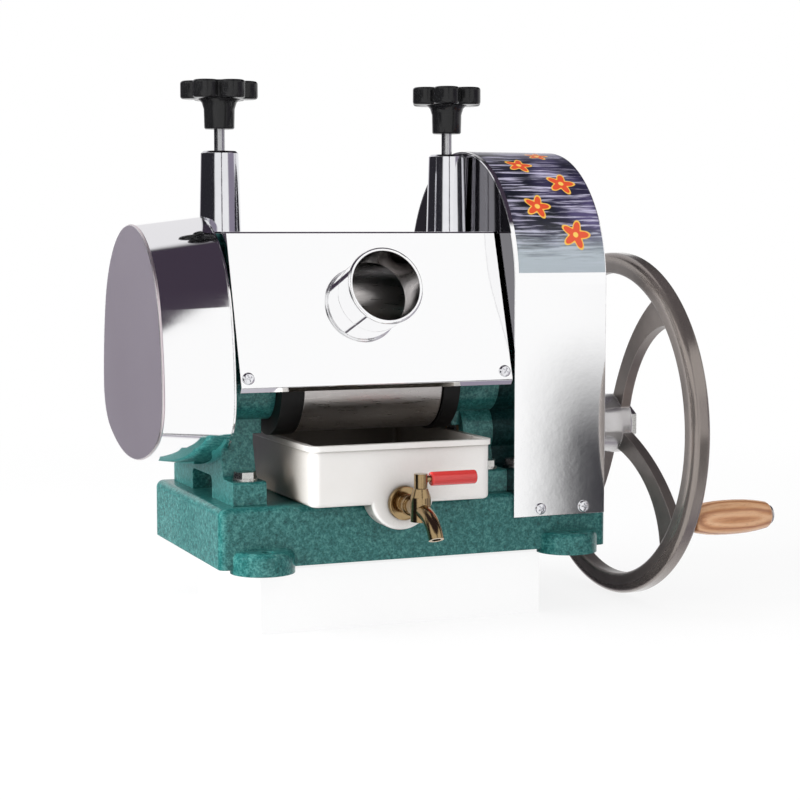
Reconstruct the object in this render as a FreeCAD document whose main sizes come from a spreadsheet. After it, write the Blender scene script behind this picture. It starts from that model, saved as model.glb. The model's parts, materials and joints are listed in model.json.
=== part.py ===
import FreeCAD, Part
import math
import os
import re
import Sketcher

# Hand cranked three roller sugarcane juicer, in millimetres.
# X runs from the roller gears on the left to the hand wheel on the right, Y from the feed side to the
# back, Z up. The origin lies midway between the four bolt lugs, in the plane of the feet.

doc = FreeCAD.newDocument("CaneJuicer")
sheet = doc.addObject("Spreadsheet::Sheet", "Sizes")
Vec = FreeCAD.Vector

SIZES = [
    # cast base
    ("foot_drop", 4), ("base_length", 380), ("base_height", 54),
    ("base_wall", 9), ("base_roof", 10), ("base_corner", 7),
    ("lug_offset", 150), ("lug_radius", 29), ("lug_reach", 24), ("lug_height", 20), ("lug_round", 6),
    ("lug_hole_radius", 5.5), ("lug_hole_reach", 11), ("cover_pad_radius", 7), ("cover_pad_height", 1.5),
    # roller and gear layout
    ("gear_module", 3), ("roller_gear_teeth", 30), ("drive_teeth", 69), ("pinion_teeth", 19),
    ("lower_spacing", 98), ("lower_axis_height", 161.8), ("crank_offset", 40), ("nip_gap", 1.5),
    ("gear_width", 22), ("drive_width", 24), ("gear_backlash", 0.35),
    # rollers and shafts
    ("left_collar_length", 21), ("right_collar_length", 16), ("shaft_radius", 17), ("crank_radius", 12),
    ("lower_collar_radius", 46.5), ("top_collar_radius", 41), ("end_gap", 0.5), ("roller_round", 1.5),
    ("running_clearance", 0.05), ("gear_gap", 5), ("nut_length", 9), ("nut_radius", 23),
    # side stands
    ("middle_x", -41), ("stand_half_span", 133), ("foot_thickness", 31), ("head_thickness", 39),
    ("foot_half_length", 98), ("foot_height", 21), ("foot_block", 30), ("web_half", 58),
    ("head_clearance", 5.2), ("boss_radius", 32), ("boss_length", 7), ("stand_top_half", 34),
    ("stand_head_rise", 60.715), ("window_half", 32), ("window_height", 20), ("crank_boss_radius", 27),
    ("bush_wall", 6), ("crank_bush_wall", 5), ("bolt_head", 8), ("bolt_flats", 18),
    # bearing blocks and pressure screws
    ("block_half_width", 21.7), ("block_half_height", 23.5), ("block_clearance", 0.3),
    ("tower_height", 75), ("tower_top_radius", 17.4), ("tower_bottom_radius", 19.3),
    ("tower_bore", 12.5), ("tower_thread_length", 15), ("screw_radius", 5), ("spring_length", 64),
    ("spring_outer", 11.5), ("spring_inner", 7.5), ("cap_height", 8), ("cap_radius", 12),
    ("knob_rise", 20), ("knob_neck_height", 27), ("knob_neck_radius", 14), ("knob_thickness", 16.5),
    ("knob_lobe_circle", 23), ("knob_lobe_radius", 12.4), ("knob_lobes", 6), ("knob_web_radius", 24.5),
    ("left_knob_angle", 43.4), ("right_knob_angle", 6.5),
    # sheet metal covers
    ("sheet_gauge", 1.5), ("panel_inset", 3), ("panel_top_y", 73), ("panel_bottom_y", 115.7),
    ("panel_bottom_rise", 2.7), ("panel_lip", 5), ("panel_lip_back", 3.5), ("shield_width", 31),
    ("feed_x", -39), ("feed_height", 242), ("feed_radius", 33.5), ("feed_length", 34), ("feed_bead", 1.9),
    ("outlet_half_width", 62), ("outlet_rise", 7.5), ("outlet_height", 42), ("chute_drop", 48),
    ("chute_reach", 62),
    ("cover_screw_inset", 7), ("cover_screw_rise", 7.5), ("spacer_radius", 5), ("screw_head_radius", 5.5),
    ("screw_head_height", 2.4),
    # roller gear cover on the left
    ("left_cover_end", -238.5), ("left_cover_shift", 6), ("left_cover_half", 108.5),
    ("left_cover_below", 69.3), ("left_cover_above", 68.215), ("left_cover_taper", 8),
    ("left_cover_corner_drop", 7.8), ("left_cover_corner", 46), ("left_cover_crown", 101.5),
    # drive gear cover on the right
    ("gear_cover_shift", 12), ("gear_cover_gap", 6.15), ("gear_cover_rise", 13.415),
    ("cover_end_gap", 12), ("gear_strip_bottom", 35.5), ("strip_screw_height", 42.5),
    ("strip_screw_inset", 22), ("strip_screw_pitch", 45), ("cover_hole_radius", 16),
    # crank bracket
    ("bracket_gap", 13), ("bracket_width", 24), ("bracket_half", 30), ("bracket_foot_half", 56),
    ("bracket_foot_height", 12),
    # hand wheel
    ("wheel_reach", 31.2), ("wheel_rim_width", 17.6), ("wheel_radius", 167.6), ("rim_depth", 20),
    ("rim_round", 6), ("hub_gap", 10), ("hub_radius", 29), ("hub_length", 46), ("spoke_angle", 41.3),
    ("spoke_width", 21), ("spoke_thickness", 10), ("spoke_bow", 13),
    ("key_width", 6), ("key_height", 3), ("wheel_nut_length", 10), ("wheel_nut_flats", 27),
    # crank handle
    ("handle_circle", 154), ("handle_angle", 30.5), ("axle_radius", 6), ("axle_end_gap", 1.5),
    ("axle_head_length", 3), ("axle_head_radius", 9), ("grip_gap", 1.7), ("grip_length", 81),
    ("grip_radius", 16.3), ("grip_end_radius", 12.5), ("grip_clearance", 0.1),
    # juice tray and tap
    ("tray_left_gap", 28.5), ("tray_right_gap", 3.5), ("tray_overhang", 26), ("tray_rear", 88),
    ("tray_rim_drop", 49), ("tray_wall", 4), ("tray_lip", 2), ("tray_lip_height", 5),
    ("tray_corner", 8), ("tray_gap", 0.3), ("sump_x", -28.7), ("sump_height", 64.7),
    ("sump_radius", 30), ("sump_gap", 1.2),
    ("tap_x", -28), ("tap_height", 59.3), ("tap_flange_radius", 15.5), ("tap_flange_thickness", 3.5),
    ("tap_gasket_thickness", 1.5), ("tap_shank_radius", 6), ("tap_nut_flats", 17), ("tap_nut_length", 4),
    ("tap_barrel_radius", 7.5), ("tap_valve_reach", 38), ("tap_shoulder", 10),
    ("tap_valve_radius", 9), ("tap_valve_low", 48),
    ("tap_valve_high", 77), ("tap_stem_radius", 4.5), ("tap_bore_radius", 4), ("spout_radius", 6.6),
    ("spout_straight", 13), ("spout_bend", 34), ("spout_start", 15), ("spout_finish", 66),
    ("lever_height", 85), ("lever_start", -19), ("lever_end", 24),
    ("lever_radius", 3), ("sleeve_radius", 6.2), ("stem_head_radius", 6), ("stem_top", 90),
]

# worked out from the sizes above, in the same words
FORMULAS = {
    "gear_tip": "gear_module * (drive_teeth / 2 + 0.95)",
    "gear_cover_radius": "gear_tip + gear_cover_gap + sheet_gauge + gear_cover_shift",
    "base_depth": "2 * (gear_cover_radius - gear_cover_shift - sheet_gauge - cover_pad_height)",
    "base_top": "foot_drop + base_height",
    "base_front": "-base_depth / 2",
    "lug_centre": "base_depth / 2 + lug_reach - lug_radius",
    "lug_hole_y": "base_depth / 2 + lug_hole_reach",
    "front_y": "-lower_spacing / 2",
    "rear_y": "lower_spacing / 2",
    "roller_distance": "gear_module * roller_gear_teeth",
    "roller_radius": "(roller_distance - nip_gap) / 2",
    "roller_left": "left_boss + end_gap + left_collar_length",
    "roller_right": "right_boss - end_gap - right_collar_length",
    "top_axis": "lower_axis_height + sqrt(roller_distance^2 - (lower_spacing / 2)^2)",
    "crank_distance": "gear_module * (drive_teeth + pinion_teeth) / 2",
    "crank_y": "-crank_offset",
    "crank_axis": "top_axis - sqrt(crank_distance^2 - crank_offset^2)",
    "left_outer": "middle_x - stand_half_span",
    "right_outer": "middle_x + stand_half_span",
    "left_inner": "left_outer + head_thickness",
    "right_inner": "right_outer - head_thickness",
    "left_boss": "left_inner + boss_length",
    "right_boss": "right_inner - boss_length",
    "left_tower_x": "left_outer + head_thickness / 2",
    "right_tower_x": "right_outer - head_thickness / 2",
    "stand_top": "top_axis + stand_head_rise",
    "tower_top": "stand_top + tower_height",
    "knob_bottom": "tower_top + knob_rise",
    "slot_low": "top_axis - block_half_height - 2",
    "slot_high": "top_axis + block_half_height + 12",
    "block_top": "top_axis + block_half_height",
    "cap_low": "block_top + spring_length",
    "cap_high": "cap_low + cap_height",
    "panel_top": "stand_top + sheet_gauge",
    "panel_bottom": "lower_axis_height + panel_bottom_rise",
    "panel_half_width": "stand_half_span - panel_inset",
    "cover_screw_height": "panel_bottom + cover_screw_rise",
    "outlet_bottom": "panel_bottom + outlet_rise",
    "left_cover_low": "lower_axis_height - left_cover_below",
    "left_cover_high": "top_axis + left_cover_above",
    "left_cover_square": "lower_axis_height - left_cover_corner_drop",
    "gear_right": "left_outer - sheet_gauge - gear_gap",
    "gear_left": "gear_right - gear_width",
    "shaft_left": "gear_left - nut_length",
    "plate_left": "left_outer - sheet_gauge",
    "plate_right": "right_outer + sheet_gauge",
    "drive_left": "right_outer + 21",
    "drive_right": "drive_left + drive_width",
    "bracket_left": "drive_right + bracket_gap",
    "gear_cover_centre": "top_axis + gear_cover_rise",
    "gear_cover_right": "bracket_left + bracket_width + cover_end_gap",
    "hub_left": "gear_cover_right + hub_gap",
    "hub_right": "hub_left + hub_length",
    "wheel_left": "hub_left + wheel_reach",
    "grip_left": "wheel_left + wheel_rim_width + grip_gap",
    "grip_right": "grip_left + grip_length",
    "axle_end": "grip_right + axle_end_gap",
    "tray_left": "left_outer + foot_thickness + tray_left_gap",
    "tray_right": "right_outer - foot_thickness - tray_right_gap",
    "tray_front": "base_depth / 2 + tray_overhang",
    "tray_rim_top": "lower_axis_height - tray_rim_drop",
    "head_start": "tray_rim_top + head_clearance",
    "tower_bore_top": "tower_top - tower_thread_length",
    "handle_y": "crank_y - handle_circle * cos(handle_angle * 1deg)",
    "handle_z": "crank_axis - handle_circle * sin(handle_angle * 1deg)",
    "tap_face": "-tray_front - tap_gasket_thickness",
    "tap_valve_y": "tap_face - tap_valve_reach",
}


def fill_sheet():
    for row, (name, value) in enumerate(SIZES, start=1):
        sheet.set(f"A{row}", name)
        sheet.set(f"B{row}", str(value))
        sheet.setAlias(f"B{row}", name)
    doc.recompute()


ALIASES = {name for name, value in SIZES}


def bind(text):
    """Turn a formula in plain size names into an expression on the sheet."""
    def swap(match):
        word = match.group(0)
        if word in FORMULAS:
            return "(" + bind(FORMULAS[word]) + ")"
        return "Sizes." + word if word in ALIASES else word
    return re.sub(r"[A-Za-z_]+", swap, str(text))


def num(text):
    return float(sheet.evalExpression(bind(text)))


pieces = {}


def keep(label, item):
    """Name a finished sub-part."""
    item.Label = label
    pieces[label] = item
    return item


def tie(item, **formulas):
    for name, text in formulas.items():
        item.setExpression(name.replace("__", "."), bind(text))


def place(item, x=0, y=0, z=0, axis="Z"):
    turns = {"Z": FreeCAD.Rotation(), "X": FreeCAD.Rotation(Vec(0, 1, 0), 90),
             "Y": FreeCAD.Rotation(Vec(1, 0, 0), -90)}
    item.Placement = FreeCAD.Placement(Vec(0, 0, 0), turns[axis])
    tie(item, Placement__Base__x=x, Placement__Base__y=y, Placement__Base__z=z)
    return item


def box(name, x, y, z, dx, dy, dz):
    item = doc.addObject("Part::Box", name)
    tie(item, Length=dx, Width=dy, Height=dz)
    return place(item, x, y, z)


def rod(name, axis, radius, length, x, y, z):
    item = doc.addObject("Part::Cylinder", name)
    tie(item, Radius=radius, Height=length)
    return place(item, x, y, z, axis)


def fuse(name, items):
    item = doc.addObject("Part::MultiFuse", name)
    item.Shapes = items
    item.Refine = True
    return item


def cut(name, base, tools):
    item = doc.addObject("Part::Cut", name)
    item.Base = base
    item.Tool = tools[0] if len(tools) == 1 else fuse(name + "_tools", tools)
    item.Refine = True
    return item


def group(label, items):
    """Identical separate solids that share one sub-part."""
    item = doc.addObject("Part::Compound", label)
    item.Links = items
    return keep(label, item)


def body_sketch(body, role, points):
    """A closed outline whose corners are bound to the sheet."""
    sketch = body.newObject("Sketcher::SketchObject", body.Name + "_outline")
    plane = [f for f in body.Origin.OriginFeatures if f.Role == role][0]
    sketch.AttachmentSupport = [(plane, "")]
    sketch.MapMode = "FlatFace"
    spots = [Vec(num(a), num(b), 0) for a, b in points]
    count = len(spots)
    for i in range(count):
        sketch.addGeometry(Part.LineSegment(spots[i], spots[(i + 1) % count]), False)
    for i in range(count):
        sketch.addConstraint(Sketcher.Constraint("Coincident", i, 2, (i + 1) % count, 1))
    for i, (across, up) in enumerate(points):
        for kind, text, value in (("DistanceX", across, spots[i].x), ("DistanceY", up, spots[i].y)):
            index = sketch.addConstraint(Sketcher.Constraint(kind, -1, 1, i, 1, value))
            sketch.setExpression(f"Constraints[{index}]", bind(text))
    return sketch


def turned(name, axis, points, x=0, y=0, z=0):
    """A turned body: points are (along, radius) about X, or (radius, height) about Z."""
    body = doc.addObject("PartDesign::Body", name)
    role, line = ("XY_Plane", "H_Axis") if axis == "X" else ("XZ_Plane", "V_Axis")
    sketch = body_sketch(body, role, points)
    turn = body.newObject("PartDesign::Revolution", name + "_turn")
    turn.Profile = sketch
    turn.ReferenceAxis = (sketch, [line])
    turn.Angle = 360
    body.Tip = turn
    return place(body, x, y, z)


def hexagon(name, axis, flats, length, x, y, z):
    """A hexagonal prism, such as a nut or a bolt head."""
    item = doc.addObject("Part::Prism", name)
    item.Polygon = 6
    tie(item, Circumradius=f"({flats}) / sqrt(3)", Height=length)
    return place(item, x, y, z, axis)


def rounded_wire(points, radii, to_space):
    """A closed outline of straight runs whose corners are tangent arcs."""
    count = len(points)
    flat = [Vec(p[0], p[1], 0) for p in points]
    starts, ends, mids = [], [], []
    for i in range(count):
        here, before, after = flat[i], flat[i - 1], flat[(i + 1) % count]
        to_before = (before - here).normalize()
        to_after = (after - here).normalize()
        half = to_before.getAngle(to_after) / 2
        if radii[i] <= 0 or math.pi / 2 - half < 1e-4:
            starts.append(here)
            ends.append(here)
            mids.append(None)
            continue
        reach = radii[i] / math.tan(half)
        centre = here + (to_before + to_after).normalize() * (radii[i] / math.sin(half))
        starts.append(here + to_before * reach)
        ends.append(here + to_after * reach)
        mids.append(centre + (here - centre).normalize() * radii[i])
    edges = []
    for i in range(count):
        if mids[i] is not None:
            edges.append(Part.Arc(to_space(starts[i]), to_space(mids[i]), to_space(ends[i])).toShape())
        nxt = (i + 1) % count
        if (starts[nxt] - ends[i]).Length > 1e-6:
            edges.append(Part.makeLine(to_space(ends[i]), to_space(starts[nxt])))
    return Part.Wire(edges)


def rounded_prism(points, radii, axis, start, length):
    """A rounded outline extruded along X, Y or Z. Outlines across X are (y, z), across Y (x, z)."""
    spaces = {"X": lambda p: Vec(start, p.x, p.y), "Y": lambda p: Vec(p.x, start, p.y),
              "Z": lambda p: Vec(p.x, p.y, start)}
    along = {"X": Vec(length, 0, 0), "Y": Vec(0, length, 0), "Z": Vec(0, 0, length)}
    return Part.Face(rounded_wire(points, radii, spaces[axis])).extrude(along[axis])


def x_rod(radius, left, right, y, z):
    return Part.makeCylinder(radius, right - left, Vec(left, y, z), Vec(1, 0, 0))


def z_rod(radius, low, high, x, y):
    return Part.makeCylinder(radius, high - low, Vec(x, y, low), Vec(0, 0, 1))


def shaped(label, shape):
    item = doc.addObject("Part::Feature", label)
    item.Shape = shape.removeSplitter()
    return keep(label, item)


fill_sheet()


# Base casting: an open bottomed box on four half round bolt lugs.

def make_base():
    shell = box("base_block", "-base_length / 2", "base_front", "foot_drop",
                "base_length", "base_depth", "base_height")
    rounds = doc.addObject("Part::Fillet", "base_rounds")
    rounds.Base = shell
    doc.recompute()
    bottom = num("foot_drop")
    rounds.Edges = [(i + 1, num("base_corner"), num("base_corner"))
                    for i, edge in enumerate(shell.Shape.Edges) if edge.BoundBox.ZMax > bottom + 1]
    lugs = []
    for sx in (-1, 1):
        for sy in (-1, 1):
            lug = rod(f"lug_{sx}_{sy}", "Z", "lug_radius", "lug_height",
                      f"{sx} * lug_offset", f"{sy} * lug_centre", 0)
            round_off = doc.addObject("Part::Fillet", f"lug_round_{sx}_{sy}")
            round_off.Base = lug
            doc.recompute()
            top = [i + 1 for i, edge in enumerate(lug.Shape.Edges)
                   if edge.BoundBox.ZMin > num("lug_height") - 0.1]
            round_off.Edges = [(i, num("lug_round"), num("lug_round")) for i in top]
            lugs.append(round_off)
    pads = [rod(f"cover_pad_{i}", "Y", "cover_pad_radius", "cover_pad_height",
                f"gear_cover_right - strip_screw_inset - {i} * strip_screw_pitch",
                "base_front - cover_pad_height", "strip_screw_height") for i in (0, 1)]
    whole = fuse("base_whole", [rounds] + lugs + pads)
    tools = [box("base_hollow", "base_wall - base_length / 2", "base_front + base_wall", -1,
                 "base_length - 2 * base_wall", "base_depth - 2 * base_wall",
                 "base_top - base_roof + 1")]
    for sx in (-1, 1):
        for sy in (-1, 1):
            tools.append(rod(f"lug_hole_{sx}_{sy}", "Z", "lug_hole_radius", "lug_height + 2",
                             f"{sx} * lug_offset", f"{sy} * lug_hole_y", -1))
    keep("base_casting", cut("base_casting", whole, tools))


# Side stands: feet, web, thicker head with roller bosses, and the slot of the top bearing block.

def stand_outline():
    foot, block, web = num("foot_half_length"), num("foot_block"), num("web_half")
    low, step = num("base_top"), num("base_top + foot_height")
    boss_y, boss_z, boss = num("rear_y"), num("lower_axis_height"), num("boss_radius")
    under_boss = boss_z - boss + 3
    waist = step + (under_boss - step) * 0.6
    half = [(foot, low, 0), (foot, step, 3), (foot - block, step, 5), (web, waist, 24),
            (web, under_boss, 12), (boss_y + boss * 0.82, boss_z - 10, 10),
            (boss_y + boss * 0.88, boss_z + 22, 24), (num("stand_top_half"), num("slot_high") - 8, 18),
            (num("stand_top_half"), num("stand_top"), 3)]
    full = half + [(-y, z, r) for y, z, r in reversed(half)]
    return [(y, z) for y, z, r in full], [r for y, z, r in full]


def make_stand(label, outer, into, with_crank):
    """One stand; outer is its outer face in X and into is +1 or -1 towards the rollers."""
    def span(depth_from, depth_to):
        a, b = outer + into * depth_from, outer + into * depth_to
        return min(a, b), abs(b - a)
    points, radii = stand_outline()
    start, size = span(0, num("foot_thickness"))
    shape = rounded_prism(points, radii, "X", start, size)
    start, size = span(0, num("head_thickness"))
    head = rounded_prism(points, radii, "X", start, size)
    foot, head_low = num("foot_half_length"), num("head_start")
    above = Part.makeBox(size, 2 * foot, num("stand_top") - head_low + 1, Vec(start, -foot, head_low))
    shape = shape.fuse(head.common(above))
    deep = num("head_thickness + boss_length")
    for y in (num("front_y"), num("rear_y")):
        left, length = span(0, deep)
        shape = shape.fuse(x_rod(num("boss_radius"), left, left + length, y, num("lower_axis_height")))
    foot_left, foot_size = span(0, num("foot_thickness"))
    if with_crank:
        shape = shape.fuse(x_rod(num("crank_boss_radius"), foot_left, foot_left + foot_size,
                                 num("crank_y"), num("crank_axis")))
    window = num("window_half")
    low, high = num("base_top"), num("base_top + window_height")
    shape = shape.cut(rounded_prism([(-window, low - 1), (window, low - 1), (window, high), (-window, high)],
                                    [0, 0, 6, 6], "X", start - 1, size + 2))
    slot = num("block_half_width + block_clearance")
    shape = shape.cut(Part.makeBox(size + 2, 2 * slot, num("slot_high - slot_low"),
                                   Vec(start - 1, -slot, num("slot_low"))))
    tower_x = outer + into * num("head_thickness") / 2
    shape = shape.cut(z_rod(num("tower_bore"), num("slot_high") - 1, num("stand_top") + 1, tower_x, 0))
    for y in (num("front_y"), num("rear_y")):
        left, length = span(-1, deep + 1)
        shape = shape.cut(x_rod(num("shaft_radius + bush_wall"), left, left + length, y,
                                num("lower_axis_height")))
    if with_crank:
        shape = shape.cut(x_rod(num("crank_radius + crank_bush_wall"), foot_left - 1,
                                foot_left + foot_size + 1, num("crank_y"), num("crank_axis")))
    shaped(label, shape)


def make_frame_bolts():
    """Hexagon bolts with washers, one on each end block of the two feet and two on the bracket."""
    spots = []
    for outer, into in (("left_outer", 1), ("right_outer", -1)):
        for side in (-1, 1):
            spots.append((f"{outer} + {into} * foot_thickness / 2",
                          f"{side} * (foot_half_length - foot_block / 2)", "base_top + foot_height"))
    for side in (-1, 1):
        spots.append(("bracket_left + bracket_width / 2", f"crank_y + {side} * (bracket_foot_half - 12)",
                      "base_top + bracket_foot_height"))
    bolts = []
    for i, (x, y, z) in enumerate(spots):
        head = hexagon(f"bolt_head_{i}", "Z", "bolt_flats", "bolt_head - 2", x, y, f"{z} + 2")
        washer = rod(f"bolt_washer_{i}", "Z", "bolt_flats * 0.62", 2, x, y, z)
        bolts.append(fuse(f"bolt_{i}", [head, washer]))
    group("frame_bolts", bolts)


def make_bracket():
    """Pedestal that carries the crank shaft between the pinion and the hand wheel."""
    half, foot = num("bracket_half"), num("bracket_foot_half")
    y, z, low = num("crank_y"), num("crank_axis"), num("base_top")
    top = low + num("bracket_foot_height")
    points = [(y - foot, low), (y + foot, low), (y + foot, top), (y + half, top), (y + half, z + half),
              (y - half, z + half), (y - half, top), (y - foot, top)]
    left, width = num("bracket_left"), num("bracket_width")
    shape = rounded_prism(points, [0, 0, 2, 2, half - 2, half - 2, 2, 2], "X", left, width)
    shape = shape.cut(x_rod(num("crank_radius + crank_bush_wall"), left - 1, left + width + 1, y, z))
    shaped("crank_bracket", shape)


# Rollers, shafts, collars, bushes and nuts, all turned about X.

def ring(name, left, right, inner, outer, y, z):
    return turned(name, "X", [(left, inner), (right, inner), (right, outer), (left, outer)], 0, y, z)


def make_roller_line(label, y, z, shaft_right, collar, left_face, right_face, nut_spots):
    """One roller on its shaft, with a collar at each end and a nut outside each gear."""
    keep(f"{label}_shaft", turned(f"{label}_shaft", "X",
                                  [("shaft_left", 0), (shaft_right, 0), (shaft_right, "shaft_radius - 1"),
                                   (f"{shaft_right} - 1", "shaft_radius"),
                                   ("shaft_left + 1", "shaft_radius"), ("shaft_left", "shaft_radius - 1")],
                                  0, y, z))
    keep(f"{label}_roller", turned(f"{label}_roller", "X",
                                   [("roller_left", "shaft_radius"), ("roller_right", "shaft_radius"),
                                    ("roller_right", "roller_radius - roller_round"),
                                    ("roller_right - roller_round", "roller_radius"),
                                    ("roller_left + roller_round", "roller_radius"),
                                    ("roller_left", "roller_radius - roller_round")], 0, y, z))
    group(f"{label}_collars",
          [ring(f"{label}_collar_{hand}", left, right, "shaft_radius", collar, y, z)
           for hand, left, right in (("left", f"{left_face} + end_gap", "roller_left"),
                                     ("right", "roller_right", f"{right_face} - end_gap"))])
    group(f"{label}_shaft_nuts", [ring(f"{label}_nut_{i}", low, f"{low} + nut_length", "shaft_radius",
                                       "nut_radius", y, z) for i, low in enumerate(nut_spots)])


def make_bushes():
    lower = []
    for side, y in (("front", "front_y"), ("rear", "rear_y")):
        for hand, left, right in (("left", "left_outer", "left_boss"),
                                  ("right", "right_boss", "right_outer")):
            lower.append(ring(f"{side}_bush_{hand}", left, right, "shaft_radius + running_clearance",
                              "shaft_radius + bush_wall", y, "lower_axis_height"))
    group("lower_bushes", lower)
    spans = (("stand", "right_outer - foot_thickness", "right_outer"),
             ("bracket", "bracket_left", "bracket_left + bracket_width"))
    group("crank_bushes", [ring(f"crank_bush_{name}", left, right, "crank_radius + running_clearance",
                                "crank_radius + crank_bush_wall", "crank_y", "crank_axis")
                           for name, left, right in spans])


def gear_outline(teeth, turn):
    """Involute outline about the origin; turn is the angle of one tooth's middle, from +Y."""
    module, pressure = num("gear_module"), math.radians(20)
    pitch = module * teeth / 2
    base, tip, root = pitch * math.cos(pressure), pitch + 0.95 * module, pitch - 1.25 * module
    half_tooth = math.pi / (2 * teeth) - num("gear_backlash") / (2 * pitch)
    involute = math.tan(pressure) - pressure

    def half_angle(radius):
        roll = math.acos(min(1, base / radius))
        return half_tooth + involute - (math.tan(roll) - roll)

    low = max(base, root)
    radii = [low + (tip - low) * step / 3 for step in range(4)]
    flank = [(r, half_angle(r)) for r in radii]
    if root < base:
        flank.insert(0, (root, half_angle(base)))
    points = []
    for tooth in range(teeth):
        middle = turn + 2 * math.pi * tooth / teeth
        points += [(r, middle - a) for r, a in flank] + [(r, middle + a) for r, a in reversed(flank)]
    spots = [Vec(0, r * math.cos(a), r * math.sin(a)) for r, a in points]
    return Part.Face(Part.makePolygon(spots + [spots[0]]))


def meshing_turn(driver_teeth, driver_turn, driven_teeth, line_angle):
    """Turn of the driven gear that puts its gap over the driver's tooth on the line of centres."""
    pitch_angle = 2 * math.pi / driver_teeth
    ahead = (line_angle - driver_turn) % pitch_angle
    gap = line_angle + math.pi + ahead * driver_teeth / driven_teeth
    return gap + math.pi / driven_teeth


def make_gear(label, teeth, turn, left, width, y, z, bore, web=None):
    """A spur gear on X; web is (inner radius, outer radius, depth) of the recess in both faces."""
    shape = gear_outline(teeth, turn).extrude(Vec(width, 0, 0))
    shape = shape.cut(x_rod(bore, -1, width + 1, 0, 0))
    if web:
        inner, outer, depth = web
        for start in (-1, width - depth):
            end = start + depth + 1
            shape = shape.cut(x_rod(outer, start, end, 0, 0).cut(x_rod(inner, start, end, 0, 0)))
    shape.translate(Vec(left, y, z))
    shaped(label, shape)


def make_gears():
    teeth = int(num("roller_gear_teeth"))
    left, width = num("gear_left"), num("gear_width")
    top, low, shaft = num("top_axis"), num("lower_axis_height"), num("shaft_radius")
    make_gear("top_gear", teeth, math.pi / 2, left, width, 0, top, shaft)
    for label, y in (("front_gear", num("front_y")), ("rear_gear", num("rear_y"))):
        turn = meshing_turn(teeth, math.pi / 2, teeth, math.atan2(low - top, y))
        make_gear(label, teeth, turn, left, width, y, low, shaft)
    big, small = int(num("drive_teeth")), int(num("pinion_teeth"))
    pitch = num("gear_module * drive_teeth / 2")
    make_gear("drive_gear", big, 0, num("drive_left"), num("drive_width"), 0, top, shaft,
              (shaft + 13, pitch - 14, 6))
    y, z = num("crank_y"), num("crank_axis")
    turn = meshing_turn(big, 0, small, math.atan2(z - top, y))
    make_gear("crank_pinion", small, turn, num("drive_left") - 1, num("drive_width") + 2, y, z,
              num("crank_radius"))


# Bearing blocks of the top roller, springs, pressure screws and star knobs.

def make_pressure_set(side, x):
    block = box(f"{side}_block_body", f"{x} - head_thickness / 2", "-block_half_width",
                "top_axis - block_half_height", "head_thickness", "2 * block_half_width",
                "2 * block_half_height")
    bore = rod(f"{side}_block_bore", "X", "shaft_radius + running_clearance", "head_thickness + 2",
               f"{x} - head_thickness / 2 - 1", 0, "top_axis")
    keep(f"{side}_bearing_block", cut(f"{side}_bearing_block", block, [bore]))
    keep(f"{side}_spring", turned(f"{side}_spring", "Z",
                                  [("spring_inner", "block_top"), ("spring_outer", "block_top"),
                                   ("spring_outer", "cap_low"), ("spring_inner", "cap_low")], x))
    keep(f"{side}_pressure_cap", turned(f"{side}_pressure_cap", "Z",
                                        [(0, "cap_low"), ("cap_radius - 1", "cap_low"),
                                         ("cap_radius", "cap_low + 1"), ("cap_radius", "cap_high"),
                                         (0, "cap_high")], x))
    keep(f"{side}_tower", turned(f"{side}_tower", "Z",
                                 [("tower_bore", "stand_top"), ("tower_bottom_radius", "stand_top"),
                                  ("tower_top_radius", "tower_top - 2"),
                                  ("tower_top_radius - 2", "tower_top"),
                                  ("screw_radius + running_clearance", "tower_top"),
                                  ("screw_radius + running_clearance", "tower_bore_top"),
                                  ("tower_bore", "tower_bore_top")], x))
    keep(f"{side}_screw", turned(f"{side}_screw", "Z",
                                 [(0, "cap_high"), ("screw_radius - 1", "cap_high"),
                                  ("screw_radius", "cap_high + 1"),
                                  ("screw_radius", "knob_bottom + knob_neck_height"),
                                  (0, "knob_bottom + knob_neck_height")], x))
    make_knob(f"{side}_knob", num(x), math.radians(num(f"{side}_knob_angle")))


def make_knob(label, x, first):
    low, neck = num("knob_bottom"), num("knob_neck_height")
    lobes_low, thick = low + neck, num("knob_thickness")
    shape = z_rod(num("knob_web_radius"), lobes_low, lobes_low + thick, x, 0)
    count, circle, lobe = int(num("knob_lobes")), num("knob_lobe_circle"), num("knob_lobe_radius")
    for i in range(count):
        angle = first + 2 * math.pi * i / count
        y = circle * math.sin(angle)
        disc = z_rod(lobe, lobes_low, lobes_low + thick, x + circle * math.cos(angle), y)
        rims = [edge for edge in disc.Edges if edge.Curve.TypeId == "Part::GeomCircle"]
        shape = shape.fuse(disc.makeFillet(3, rims))
    neck_shape = Part.makeCone(num("knob_neck_radius"), num("knob_neck_radius") + 1.5, neck + 1,
                               Vec(x, 0, low), Vec(0, 0, 1))
    shape = shape.fuse(neck_shape)
    shape = shape.cut(z_rod(num("screw_radius"), low - 1, lobes_low, x, 0))
    shaped(label, shape)


# Sheet metal hood over the rollers.

def hood_outline(side):
    """Section of one hood half: top flange, slanted panel and lip, as a thin band."""
    gauge = num("sheet_gauge")
    top_y, low_y = num("panel_top_y"), num("panel_bottom_y")
    top_z, low_z = num("panel_top"), num("panel_bottom")
    lip_y, lip_z = low_y - num("panel_lip_back"), low_z - num("panel_lip")
    run = Vec(low_y - top_y, low_z - top_z, 0).normalize()
    inward = Vec(run.y, -run.x, 0) * gauge
    slope = math.atan2(low_y - top_y, top_z - low_z)
    corner = gauge * (1 / math.cos(slope) - math.tan(slope))
    outer = [(0.5, top_z), (top_y, top_z), (low_y, low_z), (lip_y, lip_z)]
    inner = [(lip_y - gauge, lip_z), (low_y + inward.x, low_z + inward.y),
             (top_y - corner, top_z - gauge), (0.5, top_z - gauge)]
    return [(side * y, z) for y, z in outer + inner]


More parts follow.
